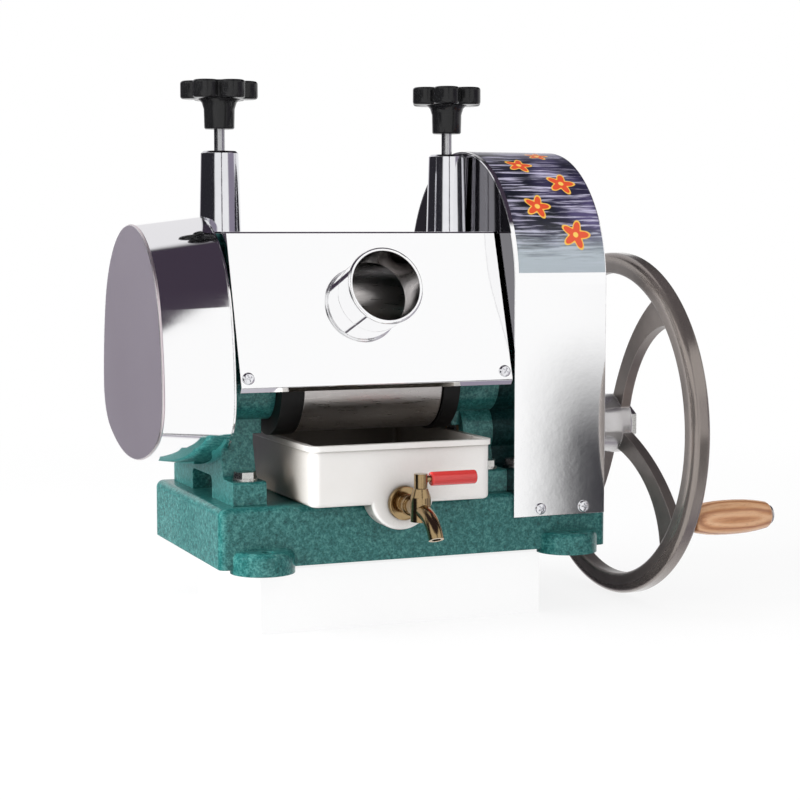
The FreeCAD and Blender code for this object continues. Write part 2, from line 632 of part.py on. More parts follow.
def hood_shape(side):
    left, width = num("middle_x - panel_half_width"), num("2 * panel_half_width")
    shape = rounded_prism(hood_outline(side), [0, 2.5, 2.5, 0, 0, 1, 1, 0], "X", left, width)
    notch = num("tower_bottom_radius + 1")
    for x in (num("left_tower_x"), num("right_tower_x")):
        shape = shape.cut(z_rod(notch, num("stand_top") - 5, num("panel_top") + 5, x, 0))
    return shape


def panel_point(height):
    """Y of the panel's outer face at a height, and the outward normal in Y and Z."""
    top_y, low_y = num("panel_top_y"), num("panel_bottom_y")
    top_z, low_z = num("panel_top"), num("panel_bottom")
    share = (top_z - height) / (top_z - low_z)
    slope = math.atan2(low_y - top_y, top_z - low_z)
    return -(top_y + (low_y - top_y) * share), Vec(0, -math.cos(slope), math.sin(slope))


def make_front_cover():
    shape = hood_shape(-1)
    y, out = panel_point(num("feed_height"))
    centre = Vec(num("feed_x"), y, num("feed_height"))
    radius, gauge = num("feed_radius"), num("sheet_gauge")
    hole = Part.makeCylinder(radius, 20, centre - out * 10, out)
    shape = shape.cut(hole)
    for x in cover_screw_columns():
        screw_y, normal = panel_point(num("cover_screw_height"))
        shape = shape.cut(Part.makeCylinder(num("spacer_radius") / 2, 12,
                                            Vec(x, screw_y, num("cover_screw_height")) - normal * 6, normal))
    shaped("front_cover", shape)
    length = num("feed_length")
    start = centre - out * (gauge + 1)
    tube = Part.makeCylinder(radius, length + gauge + 1, start, out)
    bead_at = centre + out * (length - num("feed_bead"))
    bead = Part.makeTorus(radius, num("feed_bead"), bead_at, out)
    tube = tube.fuse(bead)
    tube = tube.cut(Part.makeCylinder(radius - gauge, length + 20, start - out * 2, out))
    shaped("feed_tube", tube)


def cover_screw_columns():
    middle, half, inset = num("middle_x"), num("panel_half_width"), num("cover_screw_inset")
    return (middle - half + inset, middle + half - inset)


def make_cover_spacers():
    """Rods from the stands' bosses to the front panel, and the screws that clamp the panel on them."""
    height = num("cover_screw_height")
    y, out = panel_point(height)
    gauge, radius = num("sheet_gauge"), num("spacer_radius")
    rods = []
    for x in cover_screw_columns():
        boss = x_rod(num("boss_radius"), x - 20, x + 20, num("front_y"), num("lower_axis_height"))
        reach = num("front_y") - y
        spacer = Part.makeCylinder(radius, reach, Vec(x, y, height) - out * gauge, out * -1)
        rods.append(spacer.cut(boss))
    shaped("cover_spacers", Part.makeCompound(rods))


def make_side_shields():
    """Wedge plates that close the hood's ends in front of the stands."""
    gauge, width = num("sheet_gauge"), num("shield_width")
    height_low = num("panel_bottom + 2")
    top_z = num("panel_top - sheet_gauge")
    inset = gauge / math.cos(math.atan2(num("panel_bottom_y - panel_top_y"), num("panel_top - panel_bottom")))
    top_y, low_y = panel_point(top_z)[0] + inset, panel_point(height_low)[0] + inset
    points = [(top_y, top_z), (top_y + width, top_z), (low_y + 2, height_low), (low_y, height_low)]
    middle, half = num("middle_x"), num("panel_half_width")
    plates = [rounded_prism(points, [1.5, 0, 0, 0], "X", start, gauge)
              for start in (middle - half, middle + half - gauge)]
    shaped("side_shields", Part.makeCompound(plates))


def make_rear_cover():
    """The hood's rear half, with the outlet for the pressed cane and its chute."""
    shape = hood_shape(1)
    middle, half = num("middle_x"), num("outlet_half_width")
    low, high = num("outlet_bottom"), num("outlet_bottom + outlet_height")
    near, far = num("panel_top_y"), num("panel_bottom_y") + 1
    shape = shape.cut(Part.makeBox(2 * half, far - near, high - low, Vec(middle - half, near, low)))
    shaped("rear_cover", shape)
    gauge = num("sheet_gauge")
    y = -panel_point(low)[0]
    out, drop = num("chute_reach"), num("chute_drop")
    side_wall = 16
    top = low + gauge
    floor = [(y - gauge - 7, top), (y, top), (y + out, top - drop), (y + out, low - drop),
             (y, low), (y - gauge - 7, low)]
    flat = rounded_prism(floor, [0, 4, 0, 0, 0, 0], "X", middle - half + 0.5, 2 * half - 1)
    cheek = [(y + 0.6, low), (y + 0.6, top + side_wall), (y + out, top - drop + side_wall),
             (y + out, low - drop)]
    for start in (middle - half + 0.5, middle + half - 0.5 - gauge):
        flat = flat.fuse(rounded_prism(cheek, [0, 3, 8, 0], "X", start, gauge))
    shaped("bagasse_chute", flat)


# Cover of the roller gears: an egg shaped drum, closed at its outer end.

def drum_wire(x, grow):
    """Outline of the drum across X, grown outwards by grow."""
    half, crown = num("left_cover_half") + grow, num("left_cover_crown") + grow
    low, high = num("left_cover_low") - grow, num("left_cover_high") + grow
    square, corner, shift = num("left_cover_square"), num("left_cover_corner") + grow, num("left_cover_shift")
    shoulder_rise = high - crown - square
    side_radius = ((shoulder_rise ** 2 - (crown ** 2) + half ** 2) / (2 * (half - crown)))
    side_centre = half - side_radius
    angle = math.atan2(shoulder_rise, -side_centre)

    def spot(y, z):
        return Vec(x, shift + y, z)

    def on_circle(cy, cz, radius, turn):
        return spot(cy + radius * math.cos(turn), cz + radius * math.sin(turn))

    # the flat bottom arc runs on from the two corner arcs
    corner_y, drop = half - corner, square - low
    base_radius = (corner_y ** 2 + drop ** 2 - corner ** 2) / (2 * (drop - corner))
    base_z = low + base_radius
    turn = math.atan2(square - base_z, corner_y)
    right_low = on_circle(0, base_z, base_radius, turn)
    left_low = on_circle(0, base_z, base_radius, math.pi - turn)
    crown_z = high - crown
    right_top = on_circle(0, crown_z, crown, angle)
    left_top = on_circle(0, crown_z, crown, math.pi - angle)
    edges = [
        Part.Arc(left_top, spot(0, high), right_top),
        Part.Arc(right_top, on_circle(side_centre, square, side_radius, angle / 2), spot(half, square)),
        Part.Arc(spot(half, square), on_circle(corner_y, square, corner, turn / 2), right_low),
        Part.Arc(right_low, spot(0, low), left_low),
        Part.Arc(left_low, on_circle(-corner_y, square, corner, math.pi - turn / 2), spot(-half, square)),
        Part.Arc(spot(-half, square),
                 on_circle(-side_centre, square, side_radius, math.pi - angle / 2), left_top),
    ]
    return Part.Wire([edge.toShape() for edge in edges])


def make_left_cover():
    gauge, taper = num("sheet_gauge"), num("left_cover_taper")
    end, open_end = num("left_cover_end"), num("plate_left")
    outer = Part.makeLoft([drum_wire(end, 0), drum_wire(open_end, taper)], True, True)
    inner = Part.makeLoft([drum_wire(end + gauge, -gauge), drum_wire(open_end + 0.01, taper - gauge)],
                          True, True)
    shaped("left_cover", outer.cut(inner))
    plate = Part.Face(drum_wire(open_end, taper)).extrude(Vec(gauge, 0, 0))
    for y, z in ((0, num("top_axis")), (num("front_y"), num("lower_axis_height")),
                 (num("rear_y"), num("lower_axis_height"))):
        plate = plate.cut(x_rod(num("shaft_radius") + 3, open_end - 1, open_end + gauge + 1, y, z))
    shaped("left_back_plate", plate)


# Cover of the drive gears: back plate on the right stand, and an arched hood.

def arch_wire(x, grow, low):
    shift, radius, centre = num("gear_cover_shift"), num("gear_cover_radius") + grow, num("gear_cover_centre")
    a, b = Vec(x, shift - radius, low), Vec(x, shift - radius, centre)
    top = Vec(x, shift, centre + radius)
    c, d = Vec(x, shift + radius, centre), Vec(x, shift + radius, low)
    return Part.Wire([Part.makeLine(a, b), Part.Arc(b, top, c).toShape(), Part.makeLine(c, d),
                      Part.makeLine(d, a)])


def make_gear_cover():
    gauge, low = num("sheet_gauge"), num("base_top")
    left, right = num("plate_right"), num("gear_cover_right")
    plate = Part.Face(arch_wire(num("right_outer"), -gauge, low)).extrude(Vec(gauge, 0, 0))
    holes = [(0, num("top_axis"), num("shaft_radius") + 3),
             (num("front_y"), num("lower_axis_height"), num("shaft_radius") + 3),
             (num("rear_y"), num("lower_axis_height"), num("shaft_radius") + 3),
             (num("crank_y"), num("crank_axis"), num("crank_radius") + 3)]
    for y, z, radius in holes:
        plate = plate.cut(x_rod(radius, num("right_outer") - 1, left + 1, y, z))
    shaped("gear_back_plate", plate)
    start = num("right_outer")
    full = Part.Face(arch_wire(start, 0, low)).extrude(Vec(right - start, 0, 0))
    hollow = Part.Face(arch_wire(start - 1, -gauge, low - 1)).extrude(Vec(right - gauge - start + 1, 0, 0))
    shape = full.cut(hollow)
    front = num("gear_cover_shift - gear_cover_radius")
    strip = Part.makeBox(right - start, gauge, low - num("gear_strip_bottom") + 1,
                         Vec(start, front, num("gear_strip_bottom")))
    shape = shape.fuse(strip)
    hole = x_rod(num("cover_hole_radius"), right - 10, right + 1, num("crank_y"), num("crank_axis"))
    shape = shape.cut(hole)
    shaped("gear_cover", shape)


def screw_head(spot, out):
    head = Part.makeCylinder(num("screw_head_radius"), num("screw_head_height"), spot, out)
    rim = [edge for edge in head.Edges if edge.Curve.TypeId == "Part::GeomCircle"
           and (edge.CenterOfMass - spot).Length > 1]
    return head.makeFillet(1.2, rim)


def make_cover_screws():
    """Domed screws of the front panel and of the gear cover's strip."""
    height = num("cover_screw_height")
    y, out = panel_point(height)
    heads = [screw_head(Vec(x, y, height), out) for x in cover_screw_columns()]
    front = num("gear_cover_shift - gear_cover_radius")
    for i in (0, 1):
        x = num("gear_cover_right - strip_screw_inset") - i * num("strip_screw_pitch")
        heads.append(screw_head(Vec(x, front, num("strip_screw_height")), Vec(0, -1, 0)))
    shaped("cover_screws", Part.makeCompound(heads))


# Crank shaft, hand wheel and its turning wooden grip.

def make_crank():
    nut_right = "hub_right + wheel_nut_length"
    left = "right_outer - foot_thickness"
    keep("crank_shaft", turned("crank_shaft", "X",
                               [(left, 0), (f"{nut_right} + 3", 0), (f"{nut_right} + 3", "crank_radius - 3"),
                                (f"{nut_right} + 1", "crank_radius - 1"), (nut_right, "crank_radius"),
                                (f"{left} + 1", "crank_radius"), (left, "crank_radius - 1")],
                               0, "crank_y", "crank_axis"))
    nut = hexagon("wheel_nut_body", "X", "wheel_nut_flats + 6", "wheel_nut_length", "hub_right", "crank_y",
                  "crank_axis")
    hole = rod("wheel_nut_hole", "X", "crank_radius", "wheel_nut_length + 2", "hub_right - 1", "crank_y",
               "crank_axis")
    keep("wheel_nut", cut("wheel_nut", nut, [hole]))
    make_hand_wheel()
    y, z = "handle_y", "handle_z"
    keep("handle_axle", turned("handle_axle", "X",
                               [("wheel_left + 2", 0), ("axle_end + axle_head_length", 0),
                                ("axle_end + axle_head_length", "axle_head_radius - 2"),
                                ("axle_end + axle_head_length - 1.5", "axle_head_radius"),
                                ("axle_end", "axle_head_radius"), ("axle_end", "axle_radius"),
                                ("wheel_left + 2", "axle_radius")], 0, y, z))
    bore = "axle_radius + grip_clearance"
    span = "(grip_right - grip_left)"
    keep("handle_grip", turned("handle_grip", "X",
                               [("grip_left", bore), ("grip_right", bore),
                                ("grip_right", "grip_end_radius - 1.5"),
                                ("grip_right - 1.5", "grip_end_radius"),
                                (f"grip_left + {span} * 0.75", "grip_radius - 0.8"),
                                (f"grip_left + {span} * 0.45", "grip_radius"),
                                (f"grip_left + {span} * 0.18", "grip_radius - 0.8"),
                                ("grip_left + 2", "grip_end_radius + 1"),
                                ("grip_left", "grip_end_radius - 1")], 0, y, z))


def spoke_shape():
    """One bowed spoke, built along +Y from the hub's centre and bowed towards -Z."""
    inner, outer = num("hub_radius") - 6, num("wheel_radius - rim_depth") + 4
    width, bow = num("spoke_width"), math.radians(num("spoke_bow"))
    reach = outer - inner
    stations = [(inner, 0.3, 1.0), (inner + 0.28 * reach, 1.0, 0.82), (inner + 0.62 * reach, 0.72, 0.95),
                (outer, 0.0, 1.75)]
    lower, upper = [], []
    for radius, share, wide in stations:
        turn = -bow * share
        across = Vec(0, -math.sin(turn), math.cos(turn)) * (width * wide / 2)
        centre = Vec(0, radius * math.cos(turn), radius * math.sin(turn))
        lower.append(centre - across)
        upper.append(centre + across)
    edge_a, edge_b = Part.BSplineCurve(), Part.BSplineCurve()
    edge_a.interpolate(lower)
    edge_b.interpolate(upper)
    wire = Part.Wire([edge_a.toShape(), Part.makeLine(lower[-1], upper[-1]), edge_b.toShape(),
                      Part.makeLine(upper[0], lower[0])])
    return Part.Face(wire).extrude(Vec(num("spoke_thickness"), 0, 0))


def make_hand_wheel():
    left, width = num("wheel_left"), num("wheel_rim_width")
    outer, inner = num("wheel_radius"), num("wheel_radius - rim_depth")
    rim_round = num("rim_round")
    ring_wire = rounded_wire([(left, inner), (left + width, inner), (left + width, outer), (left, outer)],
                             [4, 4, 3, rim_round], lambda p: Vec(p.x, p.y, 0))
    wheel = Part.Face(ring_wire).revolve(Vec(0, 0, 0), Vec(1, 0, 0), 360)
    spoke = spoke_shape()
    spoke.translate(Vec(left + (width - num("spoke_thickness")) / 2, 0, 0))
    for i in range(4):
        arm = spoke.copy()
        arm.rotate(Vec(0, 0, 0), Vec(1, 0, 0), 180 + num("spoke_angle") + i * 90)
        wheel = wheel.fuse(arm)
    hub_left, hub_right, hub = num("hub_left"), num("hub_right"), num("hub_radius")
    barrel = Part.makeCone(hub - 3, hub, left - hub_left + 3, Vec(hub_left, 0, 0), Vec(1, 0, 0))
    boss = x_rod(hub, left + 3, hub_right, 0, 0)
    edges = [edge for edge in boss.Edges if edge.BoundBox.XMin > hub_right - 0.1]
    wheel = wheel.fuse(barrel).fuse(boss.makeFillet(3, edges))
    bore = num("crank_radius")
    wheel = wheel.cut(x_rod(bore, hub_left - 1, hub_right + 1, 0, 0))
    key_width, key_height = num("key_width"), num("key_height")
    way = Part.makeBox(hub_right - hub_left + 2, key_width, key_height + 3,
                       Vec(hub_left - 1, -key_width / 2, bore - 3))
    wheel = wheel.cut(way)
    axle_y, axle_z = num("handle_y - crank_y"), num("handle_z - crank_axis")
    wheel = wheel.cut(x_rod(num("axle_radius"), left + 2, left + width + 1, axle_y, axle_z))
    wheel.translate(Vec(0, num("crank_y"), num("crank_axis")))
    shaped("hand_wheel", wheel)
    arc_floor = x_rod(bore, hub_left, hub_right, 0, 0)
    key = Part.makeBox(hub_right - hub_left, key_width, key_height + 3,
                       Vec(hub_left, -key_width / 2, bore - 3)).cut(arc_floor)
    key.translate(Vec(0, num("crank_y"), num("crank_axis")))
    shaped("wheel_key", key)


# Juice tray with its sump, and the tap.

def make_tray():
    left, right = num("tray_left"), num("tray_right")
    front, rear = -num("tray_front"), num("tray_rear")
    low, high = num("base_top + tray_gap"), num("tray_rim_top")
    wall, corner, lip = num("tray_wall"), num("tray_corner"), num("tray_lip")

    def rounded_box(grow, bottom, top, radius):
        points = [(left - grow, front - grow), (right + grow, front - grow), (right + grow, rear + grow),
                  (left - grow, rear + grow)]
        return rounded_prism(points, [radius] * 4, "Z", bottom, top - bottom)

    body = rounded_box(0, low, high, corner)
    bottom_edges = [edge for edge in body.Edges if edge.BoundBox.ZMax < low + 0.1]
    body = body.makeFillet(4, bottom_edges)
    body = body.fuse(rounded_box(lip, high - num("tray_lip_height"), high, corner + lip))
    sump_back = num("base_front - sump_gap")
    x, z, radius = num("sump_x"), num("sump_height"), num("sump_radius")
    sump = Part.makeCylinder(radius, sump_back - front, Vec(x, front, z), Vec(0, 1, 0))
    rim = [edge for edge in sump.Edges if edge.Curve.TypeId == "Part::GeomCircle"]
    body = body.fuse(sump.makeFillet(3, rim))
    hollow = rounded_box(-wall, low + wall, high + 1, corner - wall)
    floor_edges = [edge for edge in hollow.Edges if edge.BoundBox.ZMax < low + wall + 0.1]
    body = body.cut(hollow.makeFillet(3, floor_edges))
    body = body.cut(Part.makeCylinder(radius - wall, sump_back - front - 2 * wall,
                                      Vec(x, front + wall, z), Vec(0, 1, 0)))
    body = body.cut(Part.makeCylinder(num("tap_shank_radius"), 3 * wall,
                                      Vec(num("tap_x"), front - wall, num("tap_height")), Vec(0, 1, 0)))
    shaped("juice_tray", body)


def spout_pieces(radius, x, y, z):
    """The spout's run out of the valve and its bend downwards, as solid rods of a radius."""
    start, finish = math.radians(num("spout_start")), math.radians(num("spout_finish"))
    length, bend = num("spout_straight"), num("spout_bend")
    out = Vec(0, -math.cos(start), -math.sin(start))
    begin = Vec(x, y, z)
    corner = begin + out * length
    centre = corner + Vec(0, math.sin(start), -math.cos(start)) * bend
    disc = Part.Face(Part.Wire(Part.makeCircle(radius, corner, out)))
    return [Part.makeCylinder(radius, length, begin, out),
            disc.revolve(centre, Vec(1, 0, 0), math.degrees(finish - start))]


def make_tap():
    x, z = num("tap_x"), num("tap_height")
    wall_front, wall_back = -num("tray_front"), -num("tray_front") + num("tray_wall")
    face, thick = num("tap_face"), num("tap_flange_thickness")
    back = Vec(0, -1, 0)
    flange_radius, shank = num("tap_flange_radius"), num("tap_shank_radius")
    gasket = Part.makeCylinder(flange_radius - 2, num("tap_gasket_thickness"), Vec(x, wall_front, z), back)
    gasket = gasket.cut(Part.makeCylinder(shank, 10, Vec(x, wall_front + 5, z), back))
    shaped("tap_gasket", gasket)
    nut_length = num("tap_nut_length")
    nut = hexagon("tap_nut_body", "Y", "tap_nut_flats", "tap_nut_length", "tap_x", "tray_wall - tray_front",
                  "tap_height")
    nut_hole = rod("tap_nut_hole", "Y", "tap_shank_radius", "tap_nut_length + 2", "tap_x",
                   "tray_wall - tray_front - 1", "tap_height")
    keep("tap_nut", cut("tap_nut", nut, [nut_hole]))
    flange = Part.makeCylinder(flange_radius, thick, Vec(x, face, z), back)
    rim = [edge for edge in flange.Edges if edge.BoundBox.YMax < face - thick + 0.1
           and edge.Curve.TypeId == "Part::GeomCircle"]
    body = flange.makeFillet(1.5, rim)
    shank_back = wall_back + nut_length + 2
    body = body.fuse(Part.makeCylinder(shank, shank_back - face + 1, Vec(x, shank_back, z), back))
    valve_y = num("tap_valve_y")
    barrel = num("tap_barrel_radius")
    body = body.fuse(Part.makeCylinder(barrel, face - thick - valve_y, Vec(x, face - thick, z), back))
    body = body.fuse(Part.makeCylinder(barrel + 2, 6, Vec(x, face - thick - 9, z), back))
    low, high, valve = num("tap_valve_low"), num("tap_valve_high"), num("tap_valve_radius")
    shoulder = z + num("tap_shoulder")
    body = body.fuse(z_rod(valve, low, shoulder, x, valve_y))
    taper = Part.makeCone(valve, valve - 2.5, high - shoulder, Vec(x, valve_y, shoulder), Vec(0, 0, 1))
    body = body.fuse(taper)
    for part in spout_pieces(num("spout_radius"), x, valve_y, z):
        body = body.fuse(part)
    bore = num("tap_bore_radius")
    body = body.cut(Part.makeCylinder(bore, shank_back - valve_y + 2, Vec(x, shank_back + 1, z), back))
    for part in spout_pieces(bore, x, valve_y, z):
        body = body.cut(part)
    stem, gap = num("tap_stem_radius"), num("running_clearance")
    body = body.cut(z_rod(stem + gap, low + 3, high + 1, x, valve_y))
    shaped("tap_body", body)
    plug = z_rod(stem, low + 3.3, num("stem_top") - 3, x, valve_y)
    plug = plug.fuse(z_rod(num("stem_head_radius"), high + 0.5, num("stem_top"), x, valve_y))
    plug = plug.cut(Part.makeCylinder(bore - 0.8, 4 * stem, Vec(x - 2 * stem, valve_y, z), Vec(1, 0, 0)))
    shaped("tap_stem", plug)
    lever_z, lever_from, lever_to = num("lever_height"), num("lever_start"), num("lever_end")
    inner = num("lever_radius")
    arm = x_rod(inner, x + num("stem_head_radius") - 1.5, lever_to - 4, valve_y, lever_z)
    arm = arm.cut(z_rod(num("stem_head_radius"), high, num("stem_top") + 5, x, valve_y))
    shaped("tap_lever", arm)
    sleeve = x_rod(num("sleeve_radius"), lever_from, lever_to, valve_y, lever_z)
    rims = [edge for edge in sleeve.Edges if edge.Curve.TypeId == "Part::GeomCircle"]
    sleeve = sleeve.makeFillet(1.5, rims).cut(x_rod(inner, lever_from - 1, lever_to - 4, valve_y, lever_z))
    shaped("lever_sleeve", sleeve)


def write_parts():
    doc.recompute()
    for item in doc.Objects:
        if any(word in item.State for word in ("Invalid", "Error")):
            raise RuntimeError(f"{item.Label} did not build: {item.State}")
    os.makedirs("parts", exist_ok=True)
    for label, item in pieces.items():
        shape = item.Shape
        if shape.isNull() or not shape.isValid():
            raise RuntimeError(f"{label} has no valid shape")
        shape.exportStep(f"parts/{label}.step")
        box_size = shape.BoundBox
        print(f"{label:22s} solids {len(shape.Solids)}  volume {shape.Volume / 1000:9.2f} cm3"
              f"  size {box_size.XLength:6.1f} {box_size.YLength:6.1f} {box_size.ZLength:6.1f}")
    print(len(pieces), "sub-parts")


make_base()
make_stand("left_stand", num("left_outer"), 1, False)
make_stand("right_stand", num("right_outer"), -1, True)
make_bracket()
make_frame_bolts()
make_bushes()
make_roller_line("top", 0, "top_axis", "drive_right + nut_length", "top_collar_radius", "left_inner",
                 "right_inner", ["shaft_left", "drive_right"])
for side, axis_y in (("front", "front_y"), ("rear", "rear_y")):
    make_roller_line(side, axis_y, "lower_axis_height", "right_outer - 2", "lower_collar_radius",
                     "left_boss", "right_boss", ["shaft_left"])
make_gears()
make_pressure_set("left", "left_tower_x")
make_pressure_set("right", "right_tower_x")
make_front_cover()
make_cover_spacers()
make_side_shields()
make_rear_cover()
make_left_cover()
make_gear_cover()
make_cover_screws()
make_crank()
make_tray()
make_tap()
write_parts()
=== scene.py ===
import json
import math

import bmesh
import bpy
from mathutils import Matrix, Vector


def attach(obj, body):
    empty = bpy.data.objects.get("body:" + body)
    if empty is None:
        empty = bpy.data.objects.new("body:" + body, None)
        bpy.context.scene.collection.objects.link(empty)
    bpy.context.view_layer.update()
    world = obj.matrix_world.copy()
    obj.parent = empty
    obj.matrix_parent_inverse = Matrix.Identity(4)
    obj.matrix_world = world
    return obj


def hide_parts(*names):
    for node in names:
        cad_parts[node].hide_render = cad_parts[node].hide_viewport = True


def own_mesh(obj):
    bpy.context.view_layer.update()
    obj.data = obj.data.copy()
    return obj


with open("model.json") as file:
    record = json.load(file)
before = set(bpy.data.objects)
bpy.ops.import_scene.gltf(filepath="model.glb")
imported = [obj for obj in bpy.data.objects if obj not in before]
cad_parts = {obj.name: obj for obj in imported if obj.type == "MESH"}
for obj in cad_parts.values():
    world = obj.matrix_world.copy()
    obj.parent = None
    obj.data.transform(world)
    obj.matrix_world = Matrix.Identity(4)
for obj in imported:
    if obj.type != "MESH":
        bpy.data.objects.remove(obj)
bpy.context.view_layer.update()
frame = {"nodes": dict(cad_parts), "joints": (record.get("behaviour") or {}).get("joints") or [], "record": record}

mm = 0.001
tiny = 1e-6  # metres: points closer than this are one point
drumEnd = -238.5  # X in mm of the drum cover's closed face
scene = bpy.context.scene
scene.view_settings.view_transform = "Standard"
jointPlace = {joint["name"]: joint["pos_m"] for joint in frame["joints"] if "pos_m" in joint}
print("frame loaded:", len(frame["nodes"]), "nodes")


# small tools for node trees

def addNode(tree, kind, settings=None, inputs=None):
    item = tree.nodes.new(kind)
    for key, value in (settings or {}).items():
        setattr(item, key, value)
    for key, value in (inputs or {}).items():
        if isinstance(value, bpy.types.NodeSocket):
            tree.links.new(value, item.inputs[key])
        else:
            item.inputs[key].default_value = value
    return item


def calc(tree, operation, *values, clamp=False):
    settings = {"operation": operation, "use_clamp": clamp}
    return addNode(tree, "ShaderNodeMath", settings, dict(enumerate(values))).outputs[0]


def scaled(tree, value, factor):
    return calc(tree, "MULTIPLY", value, factor)


def vectorCalc(tree, operation, *values):
    return addNode(tree, "ShaderNodeVectorMath", {"operation": operation}, dict(enumerate(values))).outputs


def splitVector(tree, value):
    return addNode(tree, "ShaderNodeSeparateXYZ", None, {0: value}).outputs


def objectPlace(tree):
    return addNode(tree, "ShaderNodeTexCoord").outputs["Object"]


def addNoise(tree, place, scale, detail, **more):
    inputs = {"Vector": place, "Scale": scale, "Detail": detail, **more}
    return addNode(tree, "ShaderNodeTexNoise", None, inputs).outputs


def remap(tree, value, fromLow, fromHigh, toLow=0.0, toHigh=1.0, smooth=False):
    settings = {"interpolation_type": "SMOOTHSTEP" if smooth else "LINEAR"}
    inputs = {"Value": value, "From Min": fromLow, "From Max": fromHigh, "To Min": toLow, "To Max": toHigh}
    return addNode(tree, "ShaderNodeMapRange", settings, inputs).outputs["Result"]


def mixColor(tree, share, first, second):
    # in a colour mix the share is input 0, the colours are inputs 6 and 7, and the result is output 2
    item = addNode(tree, "ShaderNodeMix", {"data_type": "RGBA"})
    for index, value in ((0, share), (6, first), (7, second)):
        if isinstance(value, bpy.types.NodeSocket):
            tree.links.new(value, item.inputs[index])
        else:
            item.inputs[index].default_value = value if index == 0 else (*value, 1)
    return item.outputs[2]


def ramp(tree, value, stops):
    item = addNode(tree, "ShaderNodeValToRGB", None, {"Fac": value})
    band = item.color_ramp
    while len(band.elements) < len(stops):
        band.elements.new(0.5)
    for element, (position, color) in zip(band.elements, stops):
        element.position = position
        element.color = (*color, 1)
    return item.outputs["Color"]


def startGroup(name, inputs, outputs):
    group = bpy.data.node_groups.new(name, "ShaderNodeTree")
    for title, kind, value in inputs:
        socket = group.interface.new_socket(title, in_out="INPUT", socket_type=kind)
        socket.default_value = value
    for title, kind in outputs:
        group.interface.new_socket(title, in_out="OUTPUT", socket_type=kind)
    return group, group.nodes.new("NodeGroupInput").outputs, group.nodes.new("NodeGroupOutput").inputs


def useGroup(tree, group, **inputs):
    item = addNode(tree, "ShaderNodeGroup", {"node_tree": group})
    for key, value in inputs.items():
        item.inputs[key].default_value = value
    return item.outputs


# shared effects, each one group; flat and worn are cosines between a face and its rounded normal

edgeWear = {"radius": 0.0006, "samples": 4, "flat": 0.995, "worn": 0.86}
hammer = {"scale": 300.0, "wobble": 260.0, "push": 0.0035, "softness": 0.7, "patch": 190.0, "detail": 3.0,
          "speck": 640.0, "speckDetail": 4.0, "cellShare": 0.30, "speckShare": 0.60, "patchShare": 0.55,
          "fleck": (0.46, 0.92)}
cloudNoise = {"scale": 9.0, "detail": 4.0, "roughness": 0.55, "range": (0.3, 0.7)}
grainNoise = {"scale": 900.0, "detail": 4.0, "roughness": 0.6}


def makeEdgeGroup():
    group, given, result = startGroup("roundedEdges", [("Radius", "NodeSocketFloat", edgeWear["radius"])],
                                      [("Normal", "NodeSocketVector"), ("Edge", "NodeSocketFloat")])
    bevel = addNode(group, "ShaderNodeBevel", {"samples": edgeWear["samples"]},
                    {"Radius": given["Radius"]}).outputs[0]
    normal = addNode(group, "ShaderNodeNewGeometry").outputs["Normal"]
    match = vectorCalc(group, "DOT_PRODUCT", bevel, normal)["Value"]
    group.links.new(bevel, result["Normal"])
    group.links.new(remap(group, match, edgeWear["flat"], edgeWear["worn"]), result["Edge"])
    return group


def makeHammerGroup():
    group, given, result = startGroup("hammerFinish", [("Scale", "NodeSocketFloat", hammer["scale"])],
                                      [("Height", "NodeSocketFloat"), ("Fleck", "NodeSocketFloat")])
    place = objectPlace(group)
    wobble = addNoise(group, place, hammer["wobble"], hammer["detail"])["Color"]
    pushed = vectorCalc(group, "MULTIPLY_ADD", wobble, (hammer["push"],) * 3, place)[0]
    cells = addNode(group, "ShaderNodeTexVoronoi", {"feature": "SMOOTH_F1"},
                    {"Vector": pushed, "Scale": given["Scale"], "Smoothness": hammer["softness"]})
    distance = cells.outputs["Distance"]
    speck = addNoise(group, pushed, hammer["speck"], hammer["speckDetail"])[0]
    patch = addNoise(group, place, hammer["patch"], hammer["detail"])[0]
    group.links.new(distance, result["Height"])
    blend = calc(group, "ADD", scaled(group, distance, hammer["cellShare"]),
                 scaled(group, speck, hammer["speckShare"]))
    blend = calc(group, "ADD", blend, scaled(group, patch, hammer["patchShare"]))
    group.links.new(remap(group, blend, *hammer["fleck"]), result["Fleck"])
    return group


def makeCloudGroup():
    group, given, result = startGroup("slowVariation", [("Scale", "NodeSocketFloat", cloudNoise["scale"])],
                                      [("Value", "NodeSocketFloat")])
    noise = addNoise(group, objectPlace(group), given["Scale"], cloudNoise["detail"],
                     Roughness=cloudNoise["roughness"])
    group.links.new(remap(group, noise[0], *cloudNoise["range"]), result["Value"])
    return group


def makeGrainGroup():
    group, given, result = startGroup("fineGrain", [("Stretch", "NodeSocketVector", (1.0, 1.0, 1.0)),
                                                    ("Scale", "NodeSocketFloat", grainNoise["scale"])],
                                      [("Height", "NodeSocketFloat")])
    pulled = vectorCalc(group, "MULTIPLY", objectPlace(group), given["Stretch"])[0]
    noise = addNoise(group, pulled, given["Scale"], grainNoise["detail"], Roughness=grainNoise["roughness"])
    group.links.new(noise[0], result["Height"])
    return group


edgeGroup = makeEdgeGroup()
hammerGroup = makeHammerGroup()
cloudGroup = makeCloudGroup()
grainGroup = makeGrainGroup()
print("shared effects ready")


# materials

def startMaterial(name, **values):
    material = bpy.data.materials.new(name)
    material.use_nodes = True
    tree = material.node_tree
    shader = tree.nodes["Principled BSDF"]
    for key, value in values.items():
        shader.inputs[key.replace("_", " ")].default_value = value
    return material, tree, shader


